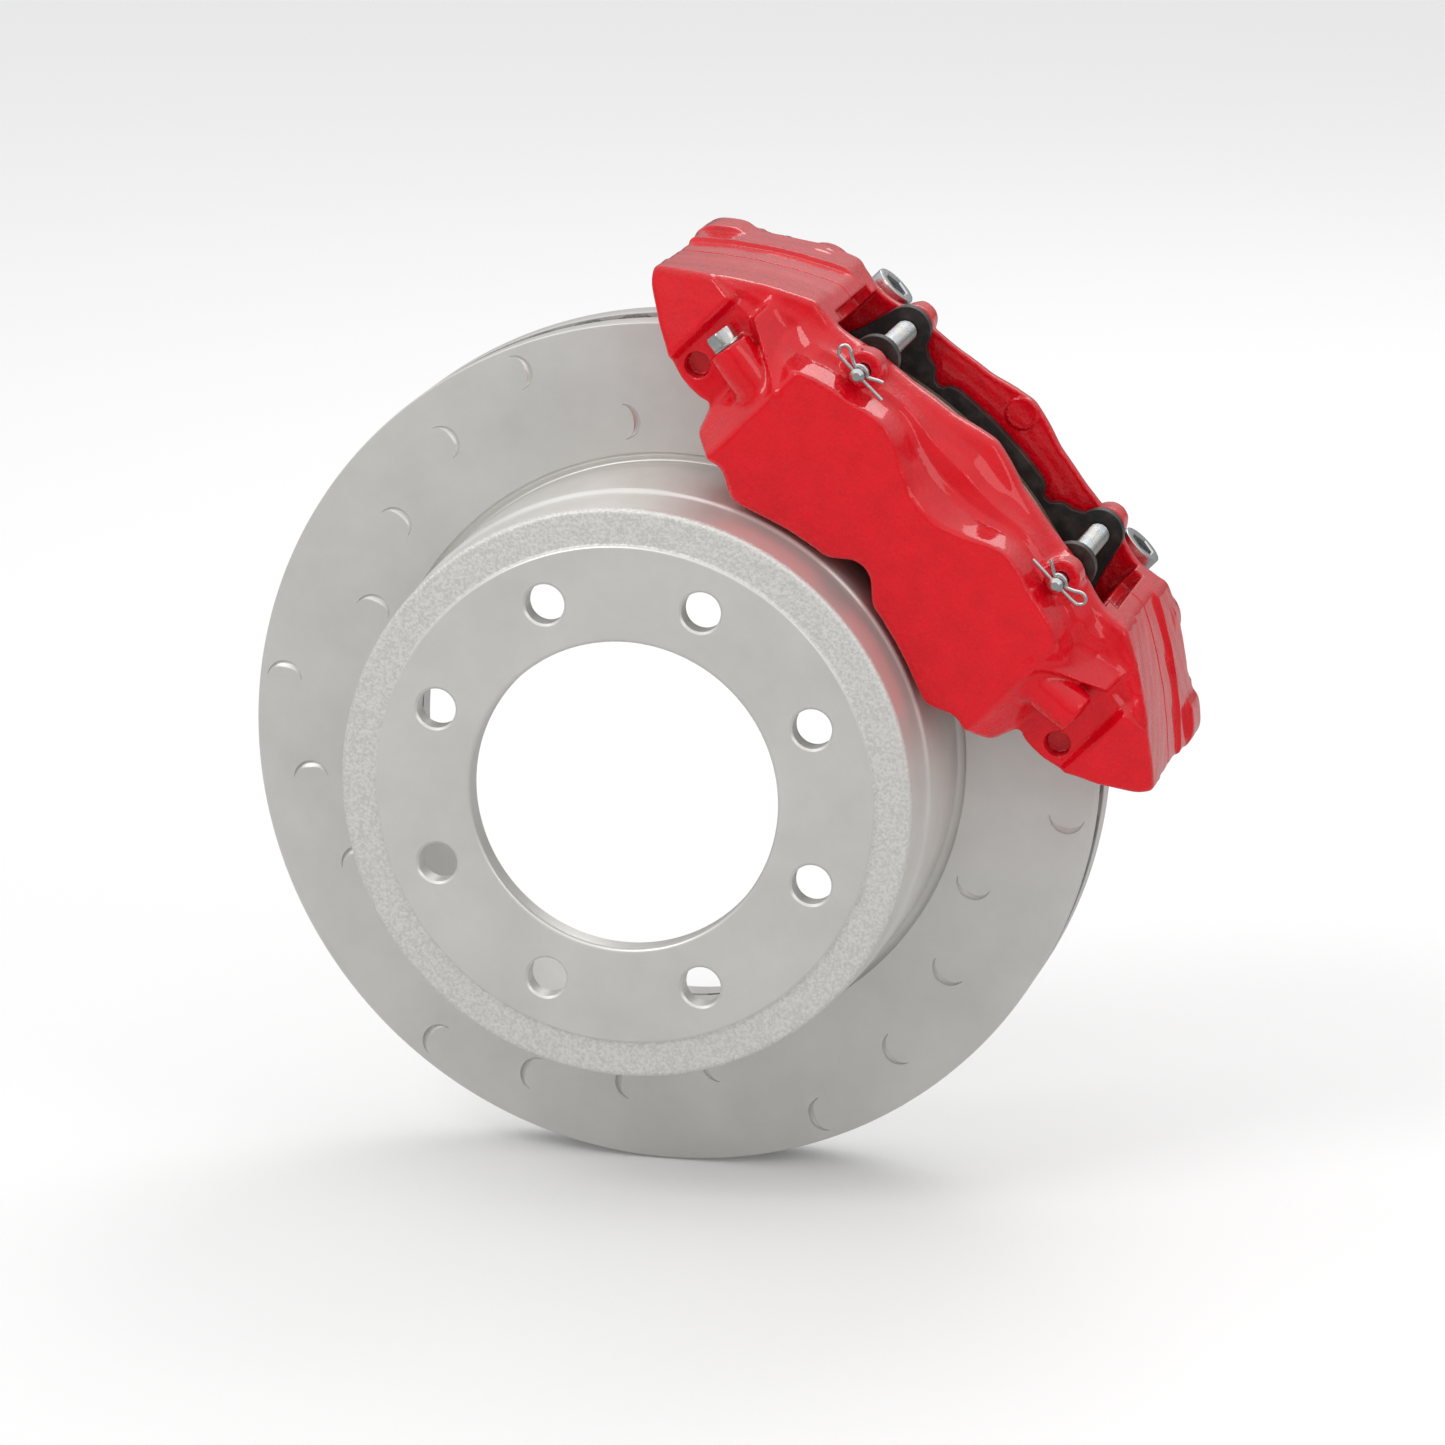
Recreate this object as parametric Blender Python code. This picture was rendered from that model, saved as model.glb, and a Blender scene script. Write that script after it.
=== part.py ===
"""Four-piston fixed brake caliper on a vented disc, with the bracket that carries it.

World frame: the disc turns about Y. -Y is the wheel side, +Y the axle side, +Z is up, and the
origin is the centre of the disc's hub face. The caliper straddles the rim at 45 degrees. Its
pieces are modelled as if it sat at the top of the disc, under an empty that is turned to that
place. There X is t, along the caliper, Z is n, the distance out from the disc's axis, and Y is
RING_MID_Y plus or minus w, the distance from the disc's middle plane. All sizes are in mm.
"""
import math

import bmesh
import bpy
from mathutils import Matrix, Vector

for leftover in list(bpy.data.objects):
    bpy.data.objects.remove(leftover, do_unlink=True)

MM = 0.001
OUTBOARD = -1
INBOARD = 1
SIDES = {"outboard": OUTBOARD, "inboard": INBOARD}
ENDS = {"left": -1, "right": 1}
GAP = 0.3                     # between pieces that touch

# Disc
DISC_R = 175.0
RING_T = 36.0
PLATE_T = 12.2
VANE_COUNT = 54
VANE_T = 6.4
HAT_DEPTH = 83.0              # wheel face to the ring's outboard face
HAT_PLATE_T = 10.0
HAT_R = 117.7
HAT_NOSE_R = 116.0
HAT_WALL = 10.0
WHEEL_FACE_R = 101.0
HUB_BORE_R = 62.45
STUD_CIRCLE_R = 165.1 / 2
STUD_COUNT = 8
STUD_HOLE_R = 8.0
RING_OUT_Y = HAT_DEPTH - HAT_PLATE_T
RING_IN_Y = RING_OUT_Y + RING_T
RING_MID_Y = RING_OUT_Y + RING_T / 2
CAVITY_R = HAT_R - HAT_WALL
RING_BORE_R = 111.0

# Caliper
CALIPER_ANGLE = 45.0
HALF_LENGTH = 146.0
WINDOW_T = 77.0               # half length of the pad window
BRIDGE_IN_R = 179.0
BRIDGE_OUT_R = 204.5
BAND_R = 201.0                # machined band across the joint
BAND_W = 20.0
LEG_W = 22.0                  # the legs clear the disc's faces from here outwards
CHEEK_IN_W = 38.0
CHEEK_W = 72.0
END_W = {OUTBOARD: 52.0, INBOARD: 56.0}
RAIL_R = 195.0
LUG_N = 114.3
LUG_T = 88.0
PISTON_T = 35.4
PISTON_N = 141.0
PISTON_R = 21.0
PISTON_CLEARANCE = 0.3
BORE_END_W = 63.5
BOOT_R = 25.0
BOOT_DEPTH = 4.0
SEAL_W = 50.0
SEAL_GROOVE_R = 24.2
SEAL_GROOVE_WIDTH = 3.6
PIN_T = 56.5
PIN_N = 179.0
PIN_R = 3.0
PIN_CLIP_W = 65.2             # plane of the clip, outboard
SPRING_R = 4.25
SPRING_WIRE_R = 0.7
SPRING_TURNS = 8
SPRING_POINTS = 8             # per turn
BOLT_PLACES = {"outer": (131.0, 142.0), "inner": (96.5, 163.0)}
BOLT_R = 6.0
BOLT_HEAD_R = 9.25
BOLT_HEAD_H = 12.0
BOLT_DEPTH = 38.0
BOLT_SEAT_W = END_W[INBOARD] - BOLT_HEAD_H - 1.0
PIN_SEAT_W = 57.0
BLEED_T = 115.0
BLEED_N = 154.5
INLET_N = 137.0
INLET_R = 10.5
INLET_W = 80.6                # its sealing face
INLET_HOLE_R = 4.5
END_POCKET = (103.0, 129.0)   # blind casting pocket at each outboard end
END_POCKET_R = 5.5
MOUNT_T = 73.0
MOUNT_W = 60.5
BUSH_R = 9.3
BUSH_TOP_N = 166.0
POCKET_R = 11.7
PASSAGE_R = 9.0
PASSAGE_T = 84.0              # middle of the drilled passage's boss at each end
PASSAGE_N = 144.5
PASSAGE_HALF = 16.0
PASSAGE_SLANT = math.radians(8.0)
PASSAGE_RISE = 6.5            # its axis above the end's face

# Pads, from the disc's face outwards
PAD_CLEARANCE = 0.5
FRICTION_T = 10.5
PLATE_THICKNESS = 5.5
SHIM_T = 0.8
FRICTION_W = RING_T / 2 + PAD_CLEARANCE
PLATE_W = FRICTION_W + FRICTION_T + GAP
SHIM_W = PLATE_W + PLATE_THICKNESS + GAP
PISTON_W = SHIM_W + SHIM_T + GAP
PISTON_LENGTH = 24.8

# Bracket: depth is counted from its disc side, height from the bottom of its ears
BRACKET_FRONT_W = MOUNT_W - 41.0
BRACKET_DEPTH = 58.0
BRACKET_HEIGHT = 49.5
BRACKET_BASE_N = LUG_N - GAP - BRACKET_HEIGHT
BRACKET_HALF = 134.0
BLOCK_END = 131.0
BLOCK_DEPTH = 29.0
EAR_TOP = 38.0
TROUGH_TOP = 27.6
WALL_TOP = 37.4
WALL_DEPTH = 36.0
BAR_BOTTOM = 12.3
AXLE_HOLE_S = 114.2
AXLE_HOLE_Z = 15.6
AXLE_HOLE_R = 8.0
EAR_PLATE_T = 20.0

# Facets of round pieces
DISC_STEPS = 60
ROUND_STEPS = 20
SMALL_STEPS = 12


def make_material(name, colour, roughness, metallic):
    material = bpy.data.materials.new(name)
    material.use_nodes = True
    shader = material.node_tree.nodes["Principled BSDF"]
    shader.inputs["Base Color"].default_value = (*colour, 1.0)
    shader.inputs["Roughness"].default_value = roughness
    shader.inputs["Metallic"].default_value = metallic
    return material


RED_PAINT = make_material("red_paint", (0.62, 0.01, 0.02), 0.25, 0.0)
COATED_IRON = make_material("coated_iron", (0.50, 0.50, 0.48), 0.45, 0.8)
PLATED_STEEL = make_material("plated_steel", (0.60, 0.60, 0.58), 0.30, 1.0)
BRACKET_STEEL = make_material("bracket_steel", (0.62, 0.62, 0.60), 0.28, 1.0)
PISTON_STEEL = make_material("piston_steel", (0.70, 0.70, 0.70), 0.20, 1.0)
BLACK_STEEL = make_material("black_steel", (0.02, 0.02, 0.02), 0.50, 0.2)
FRICTION = make_material("friction", (0.05, 0.045, 0.04), 0.95, 0.0)
RUBBER = make_material("rubber", (0.015, 0.015, 0.015), 0.60, 0.0)

station = bpy.data.objects.new("caliper_station", None)
station.rotation_euler = (0.0, math.radians(CALIPER_ANGLE), 0.0)
bpy.context.scene.collection.objects.link(station)


# Basic shapes

def finish_mesh(mesh_data, name, material=None, parent=None):
    """Make an object of a bmesh in mm; without a material it is a cutter."""
    bmesh.ops.recalc_face_normals(mesh_data, faces=mesh_data.faces[:])
    bmesh.ops.scale(mesh_data, vec=Vector((MM, MM, MM)), verts=mesh_data.verts[:])
    mesh = bpy.data.meshes.new(name)
    mesh_data.to_mesh(mesh)
    mesh_data.free()
    mesh.shade_smooth()
    mesh.set_sharp_from_angle(angle=math.radians(30))
    piece = bpy.data.objects.new(name, mesh)
    bpy.context.scene.collection.objects.link(piece)
    piece.parent = parent
    if material is None:
        piece.hide_render = True
        piece.display_type = "WIRE"
    else:
        mesh.materials.append(material)
    return piece


def add_prism(mesh_data, outline, low, high, along="Y"):
    """Extrude a closed outline of (x, z) points along Y, (y, z) along X or (x, y) along Z."""
    if along == "X":
        corners = [mesh_data.verts.new((low, u, v)) for u, v in outline]
        step = Vector((high - low, 0.0, 0.0))
    elif along == "Y":
        corners = [mesh_data.verts.new((u, low, v)) for u, v in outline]
        step = Vector((0.0, high - low, 0.0))
    else:
        corners = [mesh_data.verts.new((u, v, low)) for u, v in outline]
        step = Vector((0.0, 0.0, high - low))
    base = mesh_data.faces.new(corners)
    grown = bmesh.ops.extrude_face_region(mesh_data, geom=[base], use_keep_orig=True)
    moved = [item for item in grown["geom"] if isinstance(item, bmesh.types.BMVert)]
    bmesh.ops.translate(mesh_data, vec=step, verts=moved)


def add_lathe(mesh_data, profile, steps, place=Matrix.Identity(4)):
    """Turn (radius, height) points about Z; a profile that starts on the axis stays open."""
    ring = [mesh_data.verts.new((radius, 0.0, height)) for radius, height in profile]
    open_profile = profile[0][0] == 0.0
    pairs = list(zip(ring, ring[1:]))
    if not open_profile:
        pairs.append((ring[-1], ring[0]))
    edges = [mesh_data.edges.new(pair) for pair in pairs]
    before = set(mesh_data.verts) - set(ring)
    bmesh.ops.spin(mesh_data, geom=ring + edges, axis=(0, 0, 1), cent=(0, 0, 0),
                   steps=steps, angle=2 * math.pi, use_merge=True)
    made = [vert for vert in mesh_data.verts if vert not in before]
    bmesh.ops.remove_doubles(mesh_data, verts=made, dist=1e-4)
    centres = [vert for vert in mesh_data.verts
               if vert not in before and math.hypot(vert.co.x, vert.co.y) < 1e-4]
    bmesh.ops.dissolve_verts(mesh_data, verts=centres)
    made = [vert for vert in mesh_data.verts if vert not in before]
    bmesh.ops.transform(mesh_data, matrix=place, verts=made)


def prism(name, outline, low, high, along="Y", material=None, parent=None):
    mesh_data = bmesh.new()
    add_prism(mesh_data, outline, low, high, along)
    return finish_mesh(mesh_data, name, material, parent)


def lathe(name, profile, steps, material=None, parent=None):
    mesh_data = bmesh.new()
    add_lathe(mesh_data, profile, steps)
    return finish_mesh(mesh_data, name, material, parent)


def rods(name, places, radius, low, high, side, steps=SMALL_STEPS):
    """Cutter: round rods along w, one for each (t, n) place."""
    mesh_data = bmesh.new()
    for t, n in places:
        profile = [(0.0, low), (radius, low), (radius, high), (0.0, high)]
        add_lathe(mesh_data, profile, steps, facing(side, t, n))
    return finish_mesh(mesh_data, name, parent=station)


def facing(side, t, n, w=0.0):
    """Matrix that lays local Z along +w on one side of the disc, in the caliper's frame."""
    turn = Matrix.Rotation(-side * math.pi / 2, 4, "X")
    return Matrix.Translation((t, RING_MID_Y + side * w, n)) @ turn


def place_facing(piece, side, t, n, w):
    """Stand a turned piece in the caliper with its local Z along +w."""
    piece.location = Vector((t, RING_MID_Y + side * w, n)) * MM
    piece.rotation_euler = (-side * math.pi / 2, 0.0, 0.0)


def combine(target, operand, operation):
    modifier = target.modifiers.new(operand.name, "BOOLEAN")
    modifier.object = operand
    modifier.operation = operation
    modifier.solver = "EXACT"


def arc(radius, first, last, count, centre=(0.0, 0.0)):
    """Points on an arc, angles in degrees from +X."""
    angles = [math.radians(first + (last - first) * i / count) for i in range(count + 1)]
    return [(centre[0] + radius * math.cos(a), centre[1] + radius * math.sin(a)) for a in angles]


def circle(radius, centre, steps):
    return arc(radius, 0, 360 - 360 / steps, steps - 1, centre)


def arc_over(radius, t_first, t_last, count):
    """Points of a circle about the disc's axis, above the axis, between two values of t."""
    first = math.degrees(math.acos(t_first / radius))
    last = math.degrees(math.acos(t_last / radius))
    return arc(radius, first, last, count)


def mirrored(right_half):
    """Close an outline that is symmetric about t = 0, given its right half bottom to top."""
    left_half = [(-t, n) for t, n in reversed(right_half) if t > 0.0]
    return right_half + left_half


def hexagon(across_flats, turn=0.0):
    radius = across_flats / 2 / math.cos(math.pi / 6)
    return arc(radius, turn, turn + 300, 5)


# Disc

def build_disc():
    profile = [
        (HUB_BORE_R, -HAT_PLATE_T),
        (WHEEL_FACE_R, -HAT_PLATE_T),
        (WHEEL_FACE_R, -HAT_PLATE_T + 1.5),
        (HAT_NOSE_R - 3.0, -HAT_PLATE_T + 1.5),
        (HAT_NOSE_R, -HAT_PLATE_T + 4.5),
        (HAT_NOSE_R, 21.0),
        (HAT_R, 22.5),
        (HAT_R, RING_OUT_Y + 2.5),
        (HAT_R + 3.8, RING_OUT_Y + 2.5),
        (HAT_R + 3.8, RING_OUT_Y),
        (DISC_R - 1.2, RING_OUT_Y),
        (DISC_R, RING_OUT_Y + 1.2),
        (DISC_R, RING_IN_Y - 1.2),
        (DISC_R - 1.2, RING_IN_Y),
        (RING_BORE_R, RING_IN_Y),
        (RING_BORE_R, RING_OUT_Y + PLATE_T - 1.5),
        (CAVITY_R, RING_OUT_Y + PLATE_T - 1.5),
        (CAVITY_R, 0.0),
        (HUB_BORE_R, 0.0),
    ]
    mesh_data = bmesh.new()
    to_axis_y = Matrix.Rotation(-math.pi / 2, 4, "X")
    add_lathe(mesh_data, profile, DISC_STEPS, to_axis_y)
    disc = finish_mesh(mesh_data, "brake_disc", COATED_IRON)

    mesh_data = bmesh.new()
    pitch = 2 * math.pi / VANE_COUNT
    inner, outer = CAVITY_R - 3.0, DISC_R + 5.0
    half_inner = (pitch * inner - VANE_T) / 2
    half_outer = (pitch * outer - VANE_T) / 2
    wedge = [(inner, -half_inner), (outer, -half_outer), (outer, half_outer), (inner, half_inner)]
    for index in range(VANE_COUNT):
        turn = Matrix.Rotation(pitch * (index + 0.5), 2)
        outline = [tuple(turn @ Vector(corner)) for corner in wedge]
        add_prism(mesh_data, outline, RING_OUT_Y + PLATE_T, RING_IN_Y - PLATE_T)
    combine(disc, finish_mesh(mesh_data, "cut_vents"), "DIFFERENCE")

    mesh_data = bmesh.new()
    for index in range(STUD_COUNT):
        angle = 2 * math.pi * (index + 0.5) / STUD_COUNT
        centre = (STUD_CIRCLE_R * math.cos(angle), STUD_CIRCLE_R * math.sin(angle))
        add_prism(mesh_data, circle(STUD_HOLE_R, centre, ROUND_STEPS), -HAT_PLATE_T - 5.0, 5.0)
    combine(disc, finish_mesh(mesh_data, "cut_stud_holes"), "DIFFERENCE")


# Caliper halves

CHEEK_LOWER = {
    INBOARD: [(0.0, 120.0), (9.0, 117.0), (16.0, 110.5), (28.0, 106.5), (42.0, 106.0),
              (53.0, 108.5), (57.5, LUG_N), (LUG_T, LUG_N)],
    OUTBOARD: [(0.0, 129.0), (7.0, 126.0), (13.0, 119.8), (24.0, 117.6), (36.0, 114.5),
               (46.0, 111.2), (57.5, LUG_N), (LUG_T, LUG_N)],
}
END_LOWER = [(HALF_LENGTH, 140.0), (143.0, 136.0), (137.0, 131.5), (124.0, 126.5),
             (112.0, 123.0), (99.0, 121.0), (90.0, 122.0), (LUG_T - 0.5, LUG_N + 2.0),
             (WINDOW_T, LUG_N + 2.0)]


def bridge_outline(end, outer_r):
    """One end of the caliper outside the disc's rim, just inside the leg's outline."""
    outline = arc_over(outer_r, WINDOW_T + 0.4, HALF_LENGTH - 1.0, 8)
    outline += [(142.5, 136.6), (136.5, 132.5)]
    outline += arc_over(BRIDGE_IN_R, 127.0, WINDOW_T, 6)
    return [(end * t, n) for t, n in outline]


def leg_outline(end, outer_r):
    """One end of the caliper beside the disc's face."""
    outline = arc_over(outer_r, WINDOW_T, HALF_LENGTH, 8) + END_LOWER
    return [(end * t, n) for t, n in outline]


def bore_profile():
    """Piston bore with its seal groove and the recess for the dust boot, along +w."""
    bore_r = PISTON_R + PISTON_CLEARANCE
    return [
        (0.0, CHEEK_IN_W - 3.0), (BOOT_R, CHEEK_IN_W - 3.0), (BOOT_R, CHEEK_IN_W + BOOT_DEPTH),
        (bore_r, CHEEK_IN_W + BOOT_DEPTH), (bore_r, SEAL_W), (SEAL_GROOVE_R, SEAL_W),
        (SEAL_GROOVE_R, SEAL_W + SEAL_GROOVE_WIDTH), (bore_r, SEAL_W + SEAL_GROOVE_WIDTH),
        (bore_r, BORE_END_W), (0.0, BORE_END_W),
    ]


def build_half(side_name, side):
    """One half: cheek and rail, two bridge ends, and every bore that is machined in it."""
    def level(w):
        return RING_MID_Y + side * w

    lower = CHEEK_LOWER[side]
    name = "caliper_" + side_name + "_half"
    outline = mirrored(lower + arc_over(RAIL_R, LUG_T, 0.001, 8))
    half = prism(name, outline, level(CHEEK_IN_W), level(CHEEK_W + 5.0),
                 material=RED_PAINT, parent=station)
    section = [(CHEEK_IN_W - 1.0, 95.0), (CHEEK_W, 95.0), (CHEEK_W, 168.0), (66.0, 177.0),
               (54.0, 186.0), (44.0, RAIL_R), (44.0, RAIL_R + 5.0),
               (CHEEK_IN_W - 1.0, RAIL_R + 5.0)]
    section = [(level(w), n) for w, n in section]
    combine(half, prism("shape_" + side_name + "_section", section, -LUG_T - 5.0, LUG_T + 5.0, "X",
                        parent=station), "INTERSECT")

    for end_name, end in ENDS.items():
        tag = side_name + "_" + end_name
        bridge = prism("add_bridge_" + tag, bridge_outline(end, BAND_R),
                       level(GAP / 2), level(LEG_W + 1.0), parent=station)
        leg = prism("add_leg_" + tag, leg_outline(end, BRIDGE_OUT_R),
                    level(LEG_W), level(END_W[side]), parent=station)
        combine(leg, bridge, "UNION")
        combine(half, leg, "UNION")
        profile = [(0.0, -PASSAGE_HALF), (PASSAGE_R, -PASSAGE_HALF),
                   (PASSAGE_R, PASSAGE_HALF), (0.0, PASSAGE_HALF)]
        boss = lathe("add_passage_" + tag, profile, SMALL_STEPS, parent=station)
        boss.location = Vector((end * PASSAGE_T, level(END_W[side] + PASSAGE_RISE),
                                PASSAGE_N)) * MM
        boss.rotation_euler = (0.0, math.pi / 2 - end * PASSAGE_SLANT, 0.0)
        combine(half, boss, "UNION")

    if side == INBOARD:
        profile = [(0.0, CHEEK_W - 3.0), (INLET_R, CHEEK_W - 3.0), (INLET_R, INLET_W - 0.6),
                   (INLET_R - 0.6, INLET_W), (0.0, INLET_W)]
        mesh_data = bmesh.new()
        add_lathe(mesh_data, profile, ROUND_STEPS, facing(side, 0.0, INLET_N))
        combine(half, finish_mesh(mesh_data, "add_inlet", parent=station), "UNION")
    combine(half, drill_cutter(side_name, side), "DIFFERENCE")
    if side == INBOARD:
        cut_mount_lugs(half)


def stepped(*steps):
    """Profile of a stepped hole: (radius, low, high) for each step, outwards from the disc."""
    profile = [(0.0, steps[0][1])]
    for radius, low, high in steps:
        profile += [(radius, low), (radius, high)]
    return profile + [(0.0, steps[-1][2])]


def drill_cutter(side_name, side):
    """Every hole that is bored along w in one half, as one cutter."""
    mesh_data = bmesh.new()

    def drill(t, n, profile, steps=SMALL_STEPS):
        add_lathe(mesh_data, profile, steps, facing(side, t, n))

    for end in ENDS.values():
        drill(end * PISTON_T, PISTON_N, bore_profile(), ROUND_STEPS)
        drill(end * PIN_T, PIN_N, stepped((PIN_R + GAP, 30.0, PIN_SEAT_W), (6.0, PIN_SEAT_W, 90.0)))
        drill(end * BLEED_T, BLEED_N, stepped((5.3, -1.0, 2.0)))
        for t, n in BOLT_PLACES.values():
            if side == INBOARD:
                drill(end * t, n, stepped((BOLT_R + GAP, -1.0, BOLT_SEAT_W),
                                          (BOLT_HEAD_R + 0.55, BOLT_SEAT_W, 90.0)))
            else:
                drill(end * t, n, stepped((BOLT_R + GAP, -1.0, BOLT_DEPTH + 1.0)))
        if side == INBOARD:
            drill(end * BLEED_T, BLEED_N, stepped((4.3, 40.0, 90.0)))
        else:
            drill(end * END_POCKET[0], END_POCKET[1], stepped((END_POCKET_R, 44.0, 60.0)))
    if side == INBOARD:
        drill(0.0, INLET_N, stepped((INLET_HOLE_R, CHEEK_W - 6.0, 90.0)))
    outwards = Vector((-math.cos(PASSAGE_SLANT), 0.0, math.sin(PASSAGE_SLANT)))
    boss = Vector((-PASSAGE_T, RING_MID_Y + side * (END_W[side] + PASSAGE_RISE), PASSAGE_N))
    place = (Matrix.Translation(boss + outwards * PASSAGE_HALF)
             @ Matrix.Rotation(PASSAGE_SLANT - math.pi / 2, 4, "Y"))
    add_lathe(mesh_data, stepped((4.5 + GAP, -7.0, 5.0)), SMALL_STEPS, place)
    return finish_mesh(mesh_data, "cut_holes_" + side_name, parent=station)


def cut_mount_lugs(half):
    """Bush bores along n, with a pocket above each that opens inboard for the bolt's head."""
    bores = bmesh.new()
    pockets = bmesh.new()
    for end in ENDS.values():
        centre = (end * MOUNT_T, RING_MID_Y + MOUNT_W)
        bore = circle(BUSH_R + GAP, centre, ROUND_STEPS)
        add_prism(bores, bore, LUG_N - 8.0, BUSH_TOP_N + 5.0, "Z")
        pocket = arc(POCKET_R, 180, 360, 12, centre)
        pocket += [(centre[0] + POCKET_R, centre[1] + 25.0),
                   (centre[0] - POCKET_R, centre[1] + 25.0)]
        add_prism(pockets, pocket, BUSH_TOP_N, BRIDGE_OUT_R + 10.0, "Z")
    combine(half, finish_mesh(pockets, "cut_bolt_pockets", parent=station), "DIFFERENCE")
    combine(half, finish_mesh(bores, "cut_bush_bores", parent=station), "DIFFERENCE")


# Fasteners

def socket_bolt(name, length, material):
    """Socket cap screw: its head sits above local Z = 0 and its shank hangs below."""
    profile = [(0.0, -length), (BOLT_R - 1.0, -length), (BOLT_R, -length + 1.0), (BOLT_R, 0.0),
               (BOLT_HEAD_R, 0.0), (BOLT_HEAD_R, BOLT_HEAD_H - 1.0),
               (BOLT_HEAD_R - 1.0, BOLT_HEAD_H), (0.0, BOLT_HEAD_H)]
    bolt = lathe(name, profile, SMALL_STEPS, material, station)
    socket = prism("cut_socket_" + name, hexagon(10.0), BOLT_HEAD_H - 6.5, BOLT_HEAD_H + 2.0, "Z")
    socket.parent = bolt
    combine(bolt, socket, "DIFFERENCE")
    return bolt


def build_bridge_bolts():
    seat = BOLT_SEAT_W + GAP
    for end_name, end in ENDS.items():
        for place_name, (t, n) in BOLT_PLACES.items():
            bolt = socket_bolt("bridge_bolt_" + end_name + "_" + place_name,
                               seat + BOLT_DEPTH, RED_PAINT)
            place_facing(bolt, INBOARD, end * t, n, seat)


def build_mounting():
    """Bush, washer and radial bolt at each end of the inboard half."""
    washer_low = BUSH_TOP_N + GAP
    washer_t = 2.3
    for end_name, end in ENDS.items():
        axis = Vector((end * MOUNT_T, RING_MID_Y + MOUNT_W, 0.0)) * MM
        inner = BOLT_R + 0.4
        tube = [(BUSH_R, LUG_N), (BUSH_R, BUSH_TOP_N), (inner, BUSH_TOP_N), (inner, LUG_N)]
        bush = lathe("mount_bush_" + end_name, tube, ROUND_STEPS, PLATED_STEEL, station)
        bush.location = axis
        ring = [(11.2, washer_low), (11.2, washer_low + washer_t), (inner, washer_low + washer_t),
                (inner, washer_low)]
        washer = lathe("mount_washer_" + end_name, ring, ROUND_STEPS, PLATED_STEEL, station)
        washer.location = axis
        bolt = socket_bolt("mount_bolt_" + end_name, 82.0, PLATED_STEEL)
        bolt.location = axis + Vector((0.0, 0.0, (washer_low + washer_t + GAP) * MM))


# Hydraulics

def build_pistons():
    """Hollow piston, square seal and dust boot in each bore."""
    seal_low = SEAL_W + GAP
    seal_high = SEAL_W + SEAL_GROOVE_WIDTH - GAP
    boot_low = CHEEK_IN_W + 0.3
    boot_high = CHEEK_IN_W + BOOT_DEPTH - GAP
    hollow_r = PISTON_R - 4.0
    for side_name, side in SIDES.items():
        for end_name, end in ENDS.items():
            tag = side_name + "_" + end_name
            cup = [(0.0, 8.0), (hollow_r, 8.0), (hollow_r, 0.0), (PISTON_R - 0.6, 0.0),
                   (PISTON_R, 0.6), (PISTON_R, PISTON_LENGTH), (0.0, PISTON_LENGTH)]
            piston = lathe("piston_" + tag, cup, ROUND_STEPS, PISTON_STEEL, station)
            place_facing(piston, side, end * PISTON_T, PISTON_N, PISTON_W)
            ring = [(SEAL_GROOVE_R - GAP, seal_low), (SEAL_GROOVE_R - GAP, seal_high),
                    (PISTON_R + 0.15, seal_high), (PISTON_R + 0.15, seal_low)]
            seal = lathe("piston_seal_" + tag, ring, ROUND_STEPS, RUBBER, station)
            place_facing(seal, side, end * PISTON_T, PISTON_N, 0.0)
            fold = [(BOOT_R - GAP, boot_low), (BOOT_R - GAP, boot_high), (PISTON_R + 0.3, boot_high),
                    (PISTON_R + 0.3, boot_low + 1.2), (PISTON_R + 2.2, boot_low + 0.6)]
            boot = lathe("dust_boot_" + tag, fold, ROUND_STEPS, RUBBER, station)
            place_facing(boot, side, end * PISTON_T, PISTON_N, 0.0)


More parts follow.
